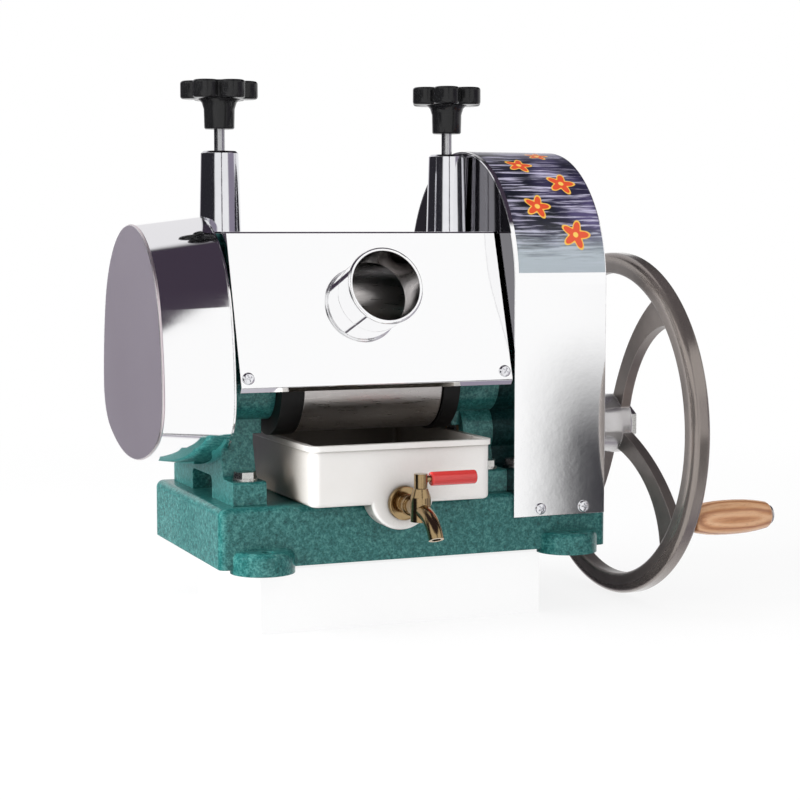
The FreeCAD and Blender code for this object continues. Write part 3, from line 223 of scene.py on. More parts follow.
def finishSurface(tree, shader, edgeRadius, height=None, strength=None, depth=None):
    edges = useGroup(tree, edgeGroup, Radius=edgeRadius)
    normal = edges["Normal"]
    if height is not None:
        normal = addNode(tree, "ShaderNodeBump", None, {"Strength": strength, "Distance": depth,
                                                        "Height": height, "Normal": normal}).outputs[0]
    tree.links.new(normal, shader.inputs["Normal"])
    return edges["Edge"]


paint = {"deep": (0.003, 0.050, 0.049), "mid": (0.016, 0.122, 0.116), "light": (0.070, 0.245, 0.228),
         "edge": (0.060, 0.23, 0.215), "edgeShare": 0.45, "edgeRadius": 0.0014, "flakes": 420.0,
         "bump": 0.30, "depth": 0.0006, "clouds": 14.0, "cloudShare": 0.16, "roughness": (0.28, 0.4),
         "metallic": 0.1, "coat": 0.22, "coatRoughness": 0.1, "shine": 0.35}


def makeTealPaint():
    material, tree, shader = startMaterial("tealHammerPaint", Metallic=paint["metallic"],
                                           Coat_Weight=paint["coat"], Coat_Roughness=paint["coatRoughness"],
                                           Specular_IOR_Level=paint["shine"])
    flakes = useGroup(tree, hammerGroup, Scale=paint["flakes"])
    edge = finishSurface(tree, shader, paint["edgeRadius"], flakes["Height"], paint["bump"], paint["depth"])
    color = ramp(tree, flakes["Fleck"], [(0.0, paint["deep"]), (0.5, paint["mid"]), (1.0, paint["light"])])
    color = mixColor(tree, scaled(tree, edge, paint["edgeShare"]), color, paint["edge"])
    cloud = useGroup(tree, cloudGroup, Scale=paint["clouds"])["Value"]
    color = mixColor(tree, remap(tree, cloud, 0, 1, 0, paint["cloudShare"]), color, paint["deep"])
    tree.links.new(color, shader.inputs["Base Color"])
    tree.links.new(remap(tree, cloud, 0, 1, *paint["roughness"]), shader.inputs["Roughness"])
    return material


sheet = {"color": (0.965, 0.965, 0.97), "edge": (0.99, 0.99, 0.99), "clouds": 7.0, "waves": 24.0,
         "depth": 0.0015, "roughness": (0.03, 0.065)}
# the satin layer with the painted reflection starts and is full at these places along X, in metres
satinPaintedReflection = {"start": drumEnd * mm + 0.0004, "full": drumEnd * mm + 0.0001, "clouds": 3.2, "roughness": 0.36,
        "dark": (0.180, 0.157, 0.190), "light": (0.222, 0.198, 0.236), "metallic": 0.55}


def makeMirrorSheet(name, edgeRadius, ripple, paintedEndReflection=False):
    material, tree, shader = startMaterial(name, Metallic=1.0)
    cloud = useGroup(tree, cloudGroup, Scale=sheet["clouds"])["Value"]
    waves = useGroup(tree, grainGroup, Scale=sheet["waves"])["Height"]
    edge = finishSurface(tree, shader, edgeRadius, waves, ripple, sheet["depth"])
    color = mixColor(tree, edge, sheet["color"], sheet["edge"])
    rough = remap(tree, cloud, 0, 1, *sheet["roughness"])
    if paintedEndReflection:  # satin layer on the drum's closed face, its lilac-grey colour a painted reflection of the purple surroundings
        along = splitVector(tree, objectPlace(tree))["X"]
        share = calc(tree, "MULTIPLY", remap(tree, along, satinPaintedReflection["start"], satinPaintedReflection["full"]),
                     calc(tree, "SUBTRACT", 1.0, edge))
        wide = useGroup(tree, cloudGroup, Scale=satinPaintedReflection["clouds"])["Value"]
        color = mixColor(tree, share, color, mixColor(tree, wide, satinPaintedReflection["dark"], satinPaintedReflection["light"]))
        rough = addNode(tree, "ShaderNodeMix", None, {0: share, 2: rough, 3: satinPaintedReflection["roughness"]}).outputs[0]
        tree.links.new(remap(tree, share, 0, 1, 1.0, satinPaintedReflection["metallic"]), shader.inputs["Metallic"])
    tree.links.new(color, shader.inputs["Base Color"])
    tree.links.new(rough, shader.inputs["Roughness"])
    return material


backPlate = {"roughness": 0.06, "edgeRadius": 0.0005, "mirrored": (0.96, 0.96, 0.965),
             "seen": (0.15, 0.145, 0.16)}


def makeBackPlatePaintedReflection():
    # painted reflection: the sheet is coloured dark for camera rays and mirror-bright for all other rays, so it
    # looks dark when seen directly and bright in its neighbours' reflections
    material, tree, shader = startMaterial("backPlatePaintedReflection", Metallic=1.0, Roughness=backPlate["roughness"])
    finishSurface(tree, shader, backPlate["edgeRadius"])
    looked = addNode(tree, "ShaderNodeLightPath").outputs["Is Camera Ray"]
    # painted dark reflection: the seen colour is used for camera rays only
    color = mixColor(tree, looked, backPlate["mirrored"], backPlate["seen"])
    tree.links.new(color, shader.inputs["Base Color"])
    return material


metal = {"edgeRadius": 0.0005, "depth": 0.0003, "clouds": 25.0, "dull": 0.72, "dullShare": 0.35,
         "grain": (0.3, 0.7)}
metalKinds = {
    # rolled rim of real metal, its pinkish tint a painted highlight
    "rim": {"name": "rimSheetPinkHighlight", "color": (0.90, 0.80, 0.83), "worn": (0.95, 0.9, 0.92),
            "roughness": (0.30, 0.42), "grainScale": 300.0, "bump": 0.03},
    "chrome": {"name": "chromePlate", "color": (0.83, 0.83, 0.86), "worn": (0.95, 0.95, 0.97),
               "roughness": (0.05, 0.12), "stretch": (1, 1, 0.12), "grainScale": 260.0, "bump": 0.10},
    "roller": {"name": "rollerSteel", "color": (0.62, 0.59, 0.575), "worn": (0.72, 0.70, 0.69),
               "roughness": (0.24, 0.42), "stretch": (0.1, 1, 1), "grainScale": 700.0, "bump": 0.10},
    "turned": {"name": "turnedSteel", "color": (0.52, 0.52, 0.53), "worn": (0.75, 0.75, 0.76),
               "roughness": (0.16, 0.32), "stretch": (1, 0.15, 0.15), "grainScale": 1600.0, "bump": 0.08},
    "zinc": {"name": "zincPlated", "color": (0.66, 0.655, 0.63), "worn": (0.85, 0.85, 0.83),
             "roughness": (0.2, 0.38), "grainScale": 900.0, "bump": 0.08},
    "gear": {"name": "gearIron", "color": (0.20, 0.195, 0.19), "worn": (0.55, 0.54, 0.53),
             "roughness": (0.3, 0.5), "grainScale": 1200.0, "bump": 0.14},
    "bronze": {"name": "bushBronze", "color": (0.52, 0.33, 0.14), "worn": (0.72, 0.52, 0.28),
               "roughness": (0.25, 0.42), "grainScale": 1000.0, "bump": 0.08},
    "brass": {"name": "tapBrass", "color": (0.40, 0.285, 0.15), "worn": (0.80, 0.66, 0.44),
              "roughness": (0.10, 0.22), "stretch": (1, 1, 0.3), "grainScale": 800.0, "bump": 0.05},
    "spring": {"name": "springSteel", "color": (0.16, 0.16, 0.17), "worn": (0.4, 0.4, 0.42),
               "roughness": (0.3, 0.45), "grainScale": 900.0, "bump": 0.05},
}


def makeMetal(name, color, worn, roughness, grainScale, bump, stretch=(1, 1, 1)):
    material, tree, shader = startMaterial(name, Metallic=1.0)
    grain = useGroup(tree, grainGroup, Stretch=stretch, Scale=grainScale)["Height"]
    cloud = useGroup(tree, cloudGroup, Scale=metal["clouds"])["Value"]
    edge = finishSurface(tree, shader, metal["edgeRadius"], grain, bump, metal["depth"])
    dull = tuple(metal["dull"] * part for part in color)
    shade = mixColor(tree, remap(tree, cloud, 0, 1, 0, metal["dullShare"]), color, dull)
    tree.links.new(mixColor(tree, edge, shade, worn), shader.inputs["Base Color"])
    tree.links.new(remap(tree, grain, *metal["grain"], *roughness), shader.inputs["Roughness"])
    return material


moulded = {"coatRoughness": 0.08, "grain": 1400.0, "depth": 0.0002, "clouds": 16.0, "tintShare": 0.6,
           "edgeShare": 0.35, "edgeGain": 1.25, "edgeLift": 0.01,
           "samples": 6, "reach": 0.11, "closed": 0.25, "open": 0.85}
mouldedKinds = {
    "black": {"name": "blackKnob", "color": (0.006, 0.006, 0.0065), "tint": (0.01, 0.01, 0.0105),
              "roughness": (0.16, 0.26), "coat": 0.12, "bump": 0.04, "edgeRadius": 0.0012, "shine": 0.3},
    "seal": {"name": "blackSeal", "color": (0.005, 0.005, 0.005), "tint": (0.010, 0.009, 0.009),
             "roughness": (0.34, 0.5), "bump": 0.08, "shine": 0.22},
    # the cream's corner colour is painted shade in the tray's hollows
    "cream": {"name": "creamPlastic", "color": (0.80, 0.785, 0.765), "tint": (0.74, 0.715, 0.68),
              "roughness": (0.26, 0.36), "coat": 0.2, "bump": 0.03, "edgeRadius": 0.0014,
              "corner": (0.16, 0.13, 0.10)},
    "red": {"name": "redSleeve", "color": (0.58, 0.038, 0.034), "tint": (0.46, 0.024, 0.022),
            "roughness": (0.2, 0.3), "coat": 0.5, "bump": 0.03},
    "rubber": {"name": "blackRubber", "color": (0.02, 0.02, 0.02), "tint": (0.035, 0.034, 0.033),
               "roughness": (0.5, 0.7), "bump": 0.12},
}


def makeMoulded(name, color, tint, roughness, bump, coat=0.0, edgeRadius=0.0008, shine=0.5, corner=None):
    material, tree, shader = startMaterial(name, Coat_Weight=coat, Coat_Roughness=moulded["coatRoughness"],
                                           Specular_IOR_Level=shine)
    grain = useGroup(tree, grainGroup, Scale=moulded["grain"])["Height"]
    cloud = useGroup(tree, cloudGroup, Scale=moulded["clouds"])["Value"]
    edge = finishSurface(tree, shader, edgeRadius, grain, bump, moulded["depth"])
    shade = mixColor(tree, remap(tree, cloud, 0, 1, 0, moulded["tintShare"]), color, tint)
    if corner is not None:  # painted shade: darker and browner where little light gets in, found by ambient occlusion
        around = addNode(tree, "ShaderNodeAmbientOcclusion", {"samples": moulded["samples"]},
                         {"Distance": moulded["reach"]}).outputs["AO"]
        openness = remap(tree, around, moulded["closed"], moulded["open"])
        shade = mixColor(tree, openness, corner, shade)
    lighter = tuple(min(1, part * moulded["edgeGain"] + moulded["edgeLift"]) for part in color)
    shade = mixColor(tree, scaled(tree, edge, moulded["edgeShare"]), shade, lighter)
    tree.links.new(shade, shader.inputs["Base Color"])
    tree.links.new(remap(tree, cloud, 0, 1, *roughness), shader.inputs["Roughness"])
    return material


wheel = {"metallic": 0.75, "coat": 0.35, "coatRoughness": 0.15, "grain": 520.0, "clouds": 22.0,
         "edgeRadius": 0.0016, "bump": 0.12, "depth": 0.0006, "rimStart": 0.1560, "rimFull": 0.1620,
         "hubStart": 0.0310, "hubFull": 0.0280, "dark": (0.16, 0.138, 0.128), "light": (0.235, 0.205, 0.19),
         "rim": (0.27, 0.235, 0.215), "hub": (0.60, 0.585, 0.585), "worn": (0.55, 0.50, 0.47),
         "wornShare": 0.5, "roughness": (0.42, 0.16)}


def makeWheelCast():
    # dark casting with a rubbed rim and a machined hub, told apart by the distance from the crank's axis
    material, tree, shader = startMaterial("wheelCast", Metallic=wheel["metallic"],
                                           Coat_Weight=wheel["coat"], Coat_Roughness=wheel["coatRoughness"])
    grain = useGroup(tree, grainGroup, Scale=wheel["grain"])["Height"]
    cloud = useGroup(tree, cloudGroup, Scale=wheel["clouds"])["Value"]
    edge = finishSurface(tree, shader, wheel["edgeRadius"], grain, wheel["bump"], wheel["depth"])
    axisY, axisZ = jointPlace["crank_turn"][1:]
    fromAxis = vectorCalc(tree, "MULTIPLY_ADD", objectPlace(tree), (0, 1, 1), (0, -axisY, -axisZ))[0]
    reach = vectorCalc(tree, "LENGTH", fromAxis)["Value"]
    rim = remap(tree, reach, wheel["rimStart"], wheel["rimFull"], smooth=True)
    hub = remap(tree, reach, wheel["hubStart"], wheel["hubFull"], smooth=True)
    bright = calc(tree, "MAXIMUM", rim, hub)
    color = mixColor(tree, cloud, wheel["dark"], wheel["light"])
    color = mixColor(tree, rim, color, wheel["rim"])
    color = mixColor(tree, hub, color, wheel["hub"])
    color = mixColor(tree, scaled(tree, edge, wheel["wornShare"]), color, wheel["worn"])
    tree.links.new(color, shader.inputs["Base Color"])
    tree.links.new(remap(tree, bright, 0, 1, *wheel["roughness"]), shader.inputs["Roughness"])
    return material


wood = {"coat": 0.6, "coatRoughness": 0.14, "stretch": (3.0, 34.0, 34.0), "bend": 3.0, "rings": 1.6,
        "twist": 7.0, "detail": 3.0, "ringDetail": 1.4, "ringShare": 0.55, "bendShare": 0.45,
        "tones": [(0.15, (0.33, 0.125, 0.045)), (0.5, (0.56, 0.27, 0.12)), (0.85, (0.72, 0.43, 0.24))],
        "poreStretch": (0.06, 1.0, 1.0), "pores": 2400.0, "pore": (0.20, 0.07, 0.03), "poreStart": 0.56,
        "poreFull": 0.7, "poreShare": 0.6, "dullStart": 0.4, "roughness": (0.34, 0.5),
        "edgeRadius": 0.0008, "bump": 0.12, "depth": 0.0002}


def makeWood():
    material, tree, shader = startMaterial("varnishedWood", Coat_Weight=wood["coat"],
                                           Coat_Roughness=wood["coatRoughness"])
    place = addNode(tree, "ShaderNodeMapping", None,
                    {"Vector": objectPlace(tree), "Scale": wood["stretch"]}).outputs[0]
    bend = addNoise(tree, place, wood["bend"], wood["detail"])[0]
    rings = addNode(tree, "ShaderNodeTexWave", {"bands_direction": "Y"},
                    {"Vector": place, "Scale": wood["rings"], "Distortion": wood["twist"],
                     "Detail": wood["detail"], "Detail Scale": wood["ringDetail"]}).outputs["Fac"]
    pores = useGroup(tree, grainGroup, Stretch=wood["poreStretch"], Scale=wood["pores"])["Height"]
    blend = calc(tree, "ADD", scaled(tree, rings, wood["ringShare"]), scaled(tree, bend, wood["bendShare"]))
    dark = remap(tree, pores, wood["poreStart"], wood["poreFull"], 0, wood["poreShare"])
    color = mixColor(tree, dark, ramp(tree, blend, wood["tones"]), wood["pore"])
    tree.links.new(color, shader.inputs["Base Color"])
    rough = remap(tree, pores, wood["dullStart"], wood["poreFull"], *wood["roughness"])
    tree.links.new(rough, shader.inputs["Roughness"])
    finishSurface(tree, shader, wood["edgeRadius"], pores, wood["bump"], wood["depth"])
    return material


# sizes in mm, low and high in degrees around the arch, and a flower as (across, along, size)
label = {"left": 96.0, "right": 185.2, "low": 5.0, "high": 93.0, "y": 12.0, "z": 250.7, "radius": 126.15,
         "steps": 44, "petals": 5.0,
         "flowers": [(62, 36, 15.5), (29, 66, 14.0), (63, 95, 15.0), (31, 126, 14.0), (62, 153, 12.0)]}
ink = {"coat": 0.35, "coatRoughness": 0.12, "roughness": 0.42,
       "strokes": (0.020, 0.34, 1), "slant": 0.10, "strokeScale": 1.0, "strokeDetail": 6.0,
       "strokeRoughness": 0.62, "strokeTwist": 0.5, "strokeMean": 0.5, "wide": 0.028, "wideDetail": 2.0,
       "width": 89, "shadeLeft": -0.12, "shadeRight": 0.16,
       "ground": [(0.34, (0.004, 0.006, 0.012)), (0.56, (0.020, 0.017, 0.050)),
                  (0.80, (0.085, 0.068, 0.17))],
       "streak": (0.60, 0.57, 0.74), "streakRange": (0.62, 0.76), "streakShare": 0.85, "patchiness": 0.22,
       "mist": (0.44, 0.50, 0.54), "mistEdges": (52, 8), "mistStrokes": 1.2, "mistRange": (0.25, 0.85),
       "mistShare": 0.9, "top": (0.66, 0.66, 0.72), "topEdges": (150, 192), "topShare": 0.75,
       "petalSwing": 0.24, "petalMean": 0.76, "outline": (0.86, 0.50, 0.06), "outlineEdges": (-0.4, 0.4),
       "petal": (0.72, 0.07, 0.015), "petalEdges": (1.5, 2.3), "heart": (0.90, 0.58, 0.10),
       "heartEdges": (3.0, 2.2)}


def makeLabelPrint():
    # made-up print: dark ground, pale brush streaks and a zigzag of small flowers
    material, tree, shader = startMaterial("labelPrint", Coat_Weight=ink["coat"],
                                           Coat_Roughness=ink["coatRoughness"], Roughness=ink["roughness"])
    place = addNode(tree, "ShaderNodeUVMap").outputs["UV"]
    part = splitVector(tree, place)
    drawn = addNode(tree, "ShaderNodeMapping", None,
                    {"Vector": place, "Scale": ink["strokes"], "Rotation": (0, 0, ink["slant"])}).outputs[0]
    strokes = addNoise(tree, drawn, ink["strokeScale"], ink["strokeDetail"],
                       Roughness=ink["strokeRoughness"], Distortion=ink["strokeTwist"])[0]
    wide = addNoise(tree, place, ink["wide"], ink["wideDetail"])[0]
    shade = remap(tree, part["X"], 0, ink["width"], ink["shadeLeft"], ink["shadeRight"])
    ground = ramp(tree, calc(tree, "ADD", shade, wide), ink["ground"])
    patchy = calc(tree, "ADD", strokes, scaled(tree, wide, ink["patchiness"]))
    streak = scaled(tree, remap(tree, patchy, *ink["streakRange"]), ink["streakShare"])
    color = mixColor(tree, streak, ground, ink["streak"])
    ragged = scaled(tree, calc(tree, "SUBTRACT", strokes, ink["strokeMean"]), ink["mistStrokes"])
    misty = calc(tree, "ADD", remap(tree, part["Y"], *ink["mistEdges"]), ragged)
    color = mixColor(tree, remap(tree, misty, *ink["mistRange"], 0, ink["mistShare"]), color, ink["mist"])
    color = mixColor(tree, remap(tree, part["Y"], *ink["topEdges"], 0, ink["topShare"]), color, ink["top"])
    for across, along, size in label["flowers"]:
        away = vectorCalc(tree, "SUBTRACT", place, (across, along, 0))[0]
        spot = splitVector(tree, away)
        reach = vectorCalc(tree, "LENGTH", away)["Value"]
        turn = scaled(tree, calc(tree, "ARCTAN2", spot["Y"], spot["X"]), label["petals"])
        petal = calc(tree, "MULTIPLY_ADD", calc(tree, "COSINE", turn), ink["petalSwing"], ink["petalMean"])
        depth = calc(tree, "SUBTRACT", scaled(tree, petal, size), reach)
        color = mixColor(tree, remap(tree, depth, *ink["outlineEdges"]), color, ink["outline"])
        color = mixColor(tree, remap(tree, depth, *ink["petalEdges"]), color, ink["petal"])
        color = mixColor(tree, remap(tree, reach, *ink["heartEdges"]), color, ink["heart"])
    tree.links.new(color, shader.inputs["Base Color"])
    return material


finishes = {
    "label": makeLabelPrint(),
    "teal": makeTealPaint(),
    "mirror": makeMirrorSheet("mirrorSheet", edgeRadius=0.0005, ripple=0.02),
    "drum": makeMirrorSheet("drumSheet", edgeRadius=0.0012, ripple=0.006, paintedEndReflection=True),
    "paintedDarkReflection": makeBackPlatePaintedReflection(),
    "wheel": makeWheelCast(),
    "wood": makeWood(),
}
for kind, values in metalKinds.items():
    finishes[kind] = makeMetal(**values)
for kind, values in mouldedKinds.items():
    finishes[kind] = makeMoulded(**values)

slotFinish = {
    "green_casting": "teal", "machined_steel": "turned", "roller_steel": "roller", "gear_iron": "gear",
    "seal_black": "seal", "bush_bronze": "bronze", "bright_chrome": "chrome", "knob_black": "black",
    "mirror_sheet": "mirror", "zinc_fastener": "zinc", "wheel_iron": "wheel", "grip_wood": "wood",
    "tray_plastic": "cream", "tap_brass": "brass", "lever_red": "red", "gasket_rubber": "rubber",
    "spring_steel": "spring",
}
nodeFinish = {"left_cover": "drum", "gear_back_plate": "paintedDarkReflection"}
for entry in frame["record"]["subparts"]:
    materials = frame["nodes"][entry["node"]].data.materials
    materials.clear()
    materials.append(finishes[nodeFinish.get(entry["node"], slotFinish[entry["material_slot"]])])
print("materials ready:", len(finishes))


# tools for new pieces

def finishPiece(name, mesh, material, body, nodes=(), autoAngle=40):
    bmesh.ops.recalc_face_normals(mesh, faces=mesh.faces)
    for face in mesh.faces:
        face.smooth = True
    limit = math.radians(autoAngle)
    for edge in mesh.edges:
        if len(edge.link_faces) == 2 and edge.calc_face_angle(0) > limit:
            edge.smooth = False
    data = bpy.data.meshes.new(name)
    mesh.to_mesh(data)
    mesh.free()
    data.materials.append(finishes[material])
    piece = bpy.data.objects.new(name, data)
    scene.collection.objects.link(piece)
    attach(piece, body)
    if nodes:
        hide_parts(*nodes)
    return piece


def spinProfile(mesh, profile, start, direction, steps):
    # profile is (along, radius) in mm, turned about the line from start along direction
    axis = Vector(direction).normalized()
    side = axis.orthogonal().normalized()
    origin = Vector(start) * mm
    verts = [mesh.verts.new(origin + axis * along * mm + side * radius * mm) for along, radius in profile]
    edges = [mesh.edges.new(pair) for pair in zip(verts, verts[1:])]
    bmesh.ops.spin(mesh, geom=verts + edges, cent=origin, axis=axis, angle=2 * math.pi, steps=steps,
                   use_merge=True)
    bmesh.ops.remove_doubles(mesh, verts=mesh.verts, dist=tiny)


# star knobs

towerX = {side: jointPlace[f"{side}_knob_turn"][0] / mm for side in ("left", "right")}
# sizes in mm, turns in degrees, and the neck's profile as (along, radius)
knob = {"low": 393.0, "head": 27.0, "thickness": 16.5, "circle": 23.0, "lobe": 12.4, "web": 24.5,
        "lobes": 6, "round": 2.6, "roundSteps": 4, "steps": 20, "turns": {"left": 43.4, "right": 6.5},
        "neck": [(0, 5.0), (0, 12.8), (1, 13.8), (18, 14.2), (24, 16.0), (28.5, 20.8)], "neckSteps": 56}


def lobeReach(angle):
    # radius of the star in mm at an angle from the middle of a lobe
    pitch = 2 * math.pi / knob["lobes"]
    off = (angle + pitch / 2) % pitch - pitch / 2
    across = knob["circle"] * math.sin(off)
    inside = knob["lobe"] ** 2 - across ** 2
    lobe = knob["circle"] * math.cos(off) + math.sqrt(inside) if inside > 0 else 0
    return max(lobe, knob["web"])


def makeKnob(side, x):
    mesh = bmesh.new()
    count = knob["lobes"] * knob["steps"]
    bmesh.ops.create_circle(mesh, cap_ends=True, radius=1, segments=count)
    low = knob["low"] + knob["head"]
    first = math.radians(knob["turns"][side])
    for vert in mesh.verts:
        reach = lobeReach(math.atan2(vert.co.y, vert.co.x) - first) * mm
        vert.co = Vector((vert.co.x * reach, vert.co.y * reach, low * mm))
    lower = list(mesh.faces)
    grown = bmesh.ops.extrude_face_region(mesh, geom=lower)["geom"]
    bmesh.ops.translate(mesh, verts=[item for item in grown if isinstance(item, bmesh.types.BMVert)],
                        vec=(0, 0, knob["thickness"] * mm))
    rims = [edge for edge in mesh.edges if abs(edge.verts[0].co.z - edge.verts[1].co.z) < tiny]
    bmesh.ops.bevel(mesh, geom=rims, offset=knob["round"] * mm, segments=knob["roundSteps"], profile=0.5,
                    affect="EDGES", material=-1)
    bmesh.ops.translate(mesh, verts=mesh.verts, vec=(x * mm, 0, 0))
    spinProfile(mesh, knob["neck"], (x, 0, knob["low"]), (0, 0, 1), knob["neckSteps"])
    return finishPiece(f"{side}_star_knob", mesh, "black", f"{side}_press", [f"{side}_knob"],
                       autoAngle=50)


for side, x in towerX.items():
    makeKnob(side, x)
print("star knobs made")


# turned wooden grip on its axle, the profile as (along, radius) in mm

grip = {"left": 246.5, "steps": 64,
        "profile": [(0, 6.2), (0, 10.2), (0.7, 11.6), (3, 12.8), (8, 13.9), (15, 15.1), (24, 15.9),
                    (35, 16.25), (46, 16.2), (57, 15.7), (67, 14.6), (74.5, 13.4), (78.7, 12.6),
                    (80.4, 11.5), (81, 10.4), (81, 6.2), (0, 6.2)]}


def makeGrip():
    mesh = bmesh.new()
    y, z = jointPlace["grip_turn"][1:]
    spinProfile(mesh, grip["profile"], (grip["left"], y / mm, z / mm), (1, 0, 0), grip["steps"])
    return finishPiece("wooden_grip", mesh, "wood", "grip", ["handle_grip"], autoAngle=60)


makeGrip()
print("grip made")


# printed label on the gear cover's arch

def makeLabel():
    mesh = bmesh.new()
    layer = mesh.loops.layers.uv.new("UVMap")
    sweep = label["high"] - label["low"]
    rows = []
    for step in range(label["steps"] + 1):
        angle = math.radians(label["low"] + sweep * step / label["steps"])
        y = label["y"] - label["radius"] * math.cos(angle)
        z = label["z"] + label["radius"] * math.sin(angle)
        rows.append([mesh.verts.new((x * mm, y * mm, z * mm)) for x in (label["left"], label["right"])])
    arc = label["radius"] * math.radians(sweep)
    width = label["right"] - label["left"]
    for step, (under, over) in enumerate(zip(rows, rows[1:])):
        face = mesh.faces.new((under[0], under[1], over[1], over[0]))
        low = arc * step / label["steps"]
        high = arc * (step + 1) / label["steps"]
        for loop, spot in zip(face.loops, ((0, low), (width, low), (width, high), (0, high))):
            loop[layer].uv = spot
    return finishPiece("cover_label", mesh, "label", "frame")


makeLabel()
print("cover label made")


# rolled rim around the drum's closed end

drum = {"half": 108.5, "crown": 101.5, "low": 92.5, "high": 305.5, "square": 154.0, "corner": 46.0,
        "shift": 6.0, "bead": 1.7, "set": 0.7, "inset": 0.05, "sides": 10,
        "baseSteps": 12, "cornerSteps": 16, "sideSteps": 8, "crownSteps": 20}


def drumOutline():
    # closed outline of the drum's end as (y, z) in mm, four kinds of tangent arc
    crownZ = drum["high"] - drum["crown"]
    rise = crownZ - drum["square"]
    sideRadius = (rise ** 2 - drum["crown"] ** 2 + drum["half"] ** 2) / (2 * (drum["half"] - drum["crown"]))
    sideCentre = drum["half"] - sideRadius
    turn = math.atan2(rise, -sideCentre)
    cornerY = drum["half"] - drum["corner"]
    drop = drum["square"] - drum["low"]
    baseRadius = (cornerY ** 2 + drop ** 2 - drum["corner"] ** 2) / (2 * (drop - drum["corner"]))
    baseZ = drum["low"] + baseRadius
    foot = math.atan2(drum["square"] - baseZ, cornerY)
    arcs = [(0, baseZ, baseRadius, -math.pi / 2, foot, drum["baseSteps"]),
            (cornerY, drum["square"], drum["corner"], foot, 0, drum["cornerSteps"]),
            (sideCentre, drum["square"], sideRadius, 0, turn, drum["sideSteps"]),
            (0, crownZ, drum["crown"], turn, math.pi / 2, drum["crownSteps"])]
    half = []
    for y, z, radius, start, finish, steps in arcs:
        for step in range(steps):
            angle = start + (finish - start) * step / steps
            half.append((y + radius * math.cos(angle), z + radius * math.sin(angle)))
    top = [(0.0, drum["high"])]
    points = half + top + [(-y, z) for y, z in reversed(half[1:])]
    return [(drum["shift"] + y, z) for y, z in points]


def joinRings(mesh, ring, following):
    count = len(ring)
    for place in range(count):
        beside = (place + 1) % count
        mesh.faces.new((ring[place], following[place], following[beside], ring[beside]))


def makeDrumRim():
    mesh = bmesh.new()
    points = drumOutline()
    count = len(points)
    rings = []
    for i, (y, z) in enumerate(points):
        before, after = points[i - 1], points[(i + 1) % count]
        along = Vector((after[0] - before[0], after[1] - before[1])).normalized()
        out = Vector((along.y, -along.x))
        ring = []
        for step in range(drum["sides"]):
            angle = 2 * math.pi * step / drum["sides"]
            push = drum["set"] - drum["bead"] + drum["bead"] * math.cos(angle)
            x = drumEnd + drum["bead"] + drum["inset"] + drum["bead"] * math.sin(angle)
            ring.append(mesh.verts.new((x * mm, (y + out.x * push) * mm, (z + out.y * push) * mm)))
        rings.append(ring)
    for i, ring in enumerate(rings):
        joinRings(mesh, ring, rings[(i + 1) % count])
    return finishPiece("drum_rim", mesh, "rim", "frame", autoAngle=70)


makeDrumRim()
print("drum rim made")


# domed screws with a cross recess

# heights of the front panel's edges, and their depths in front of the towers
panel = {"low": 164.5, "high": 299.5, "lowDepth": 115.7, "highDepth": 73.0}
panelSlope = math.atan2(panel["lowDepth"] - panel["highDepth"], panel["high"] - panel["low"])
panelOut = (0, -math.cos(panelSlope), math.sin(panelSlope))
stripOut = (0, -1, 0)  # the flat front of the gear cover
screw = {"dome": [(0, 5.5), (1.0, 5.5), (1.7, 5.1), (2.2, 4.5), (2.4, 3.9)], "height": 2.4, "steps": 32,
         "slot": 3.1, "width": 1.0, "deep": 1.3, "taper": 0.8, "firstTurn": 0.35, "nextTurn": 0.6,
         "spots": [((-164.0, -113.33, 172.0), panelOut), ((82.0, -113.33, 172.0), panelOut),
                   ((164.0, -114.0, 42.5), stripOut), ((119.0, -114.0, 42.5), stripOut)]}


def makeScrew(mesh, start, direction, turn):
    made = bmesh.new()
    spinProfile(made, screw["dome"], (0, 0, 0), (0, 0, 1), screw["steps"])
    top = screw["height"] * mm
    rim = [edge for edge in made.edges if all(abs(vert.co.z - top) < tiny for vert in edge.verts)]
    slot, width = screw["slot"] * mm, screw["width"] * mm / 2
    corners = [(slot, -width), (slot, width), (width, width)]
    outline = []
    for quarter in range(4):
        spin = Matrix.Rotation(quarter * math.pi / 2, 2)
        outline += [spin @ Vector(corner) for corner in corners]
    upper = [made.verts.new((spot.x, spot.y, top)) for spot in outline]
    floor = [spot * screw["taper"] for spot in outline]
    lower = [made.verts.new((spot.x, spot.y, top - screw["deep"] * mm)) for spot in floor]
    cross = [made.edges.new((upper[i - 1], upper[i])) for i in range(len(upper))]
    bmesh.ops.triangle_fill(made, edges=rim + cross, use_beauty=True)
    for i in range(len(upper)):
        made.faces.new((upper[i - 1], upper[i], lower[i], lower[i - 1]))
    made.faces.new(lower)
    aim = Vector(direction).to_track_quat("Z", "Y").to_matrix().to_4x4() @ Matrix.Rotation(turn, 4, "Z")
    made.transform(Matrix.Translation(Vector(start) * mm) @ aim)
    data = bpy.data.meshes.new("screwTemp")
    made.to_mesh(data)
    made.free()
    mesh.from_mesh(data)
    bpy.data.meshes.remove(data)


def makeScrews():
    mesh = bmesh.new()
    for index, (start, direction) in enumerate(screw["spots"]):
        makeScrew(mesh, start, direction, screw["firstTurn"] + screw["nextTurn"] * index)
    return finishPiece("cross_screws", mesh, "chrome", "frame", ["cover_screws"],
                       autoAngle=32)


makeScrews()
print("cover screws made")


# coil springs inside the towers, shortened by the caps

spring = {"low": 260.79, "length": 64.0, "circle": 9.4, "wire": 1.95, "turns": 9, "steps": 26, "sides": 8}


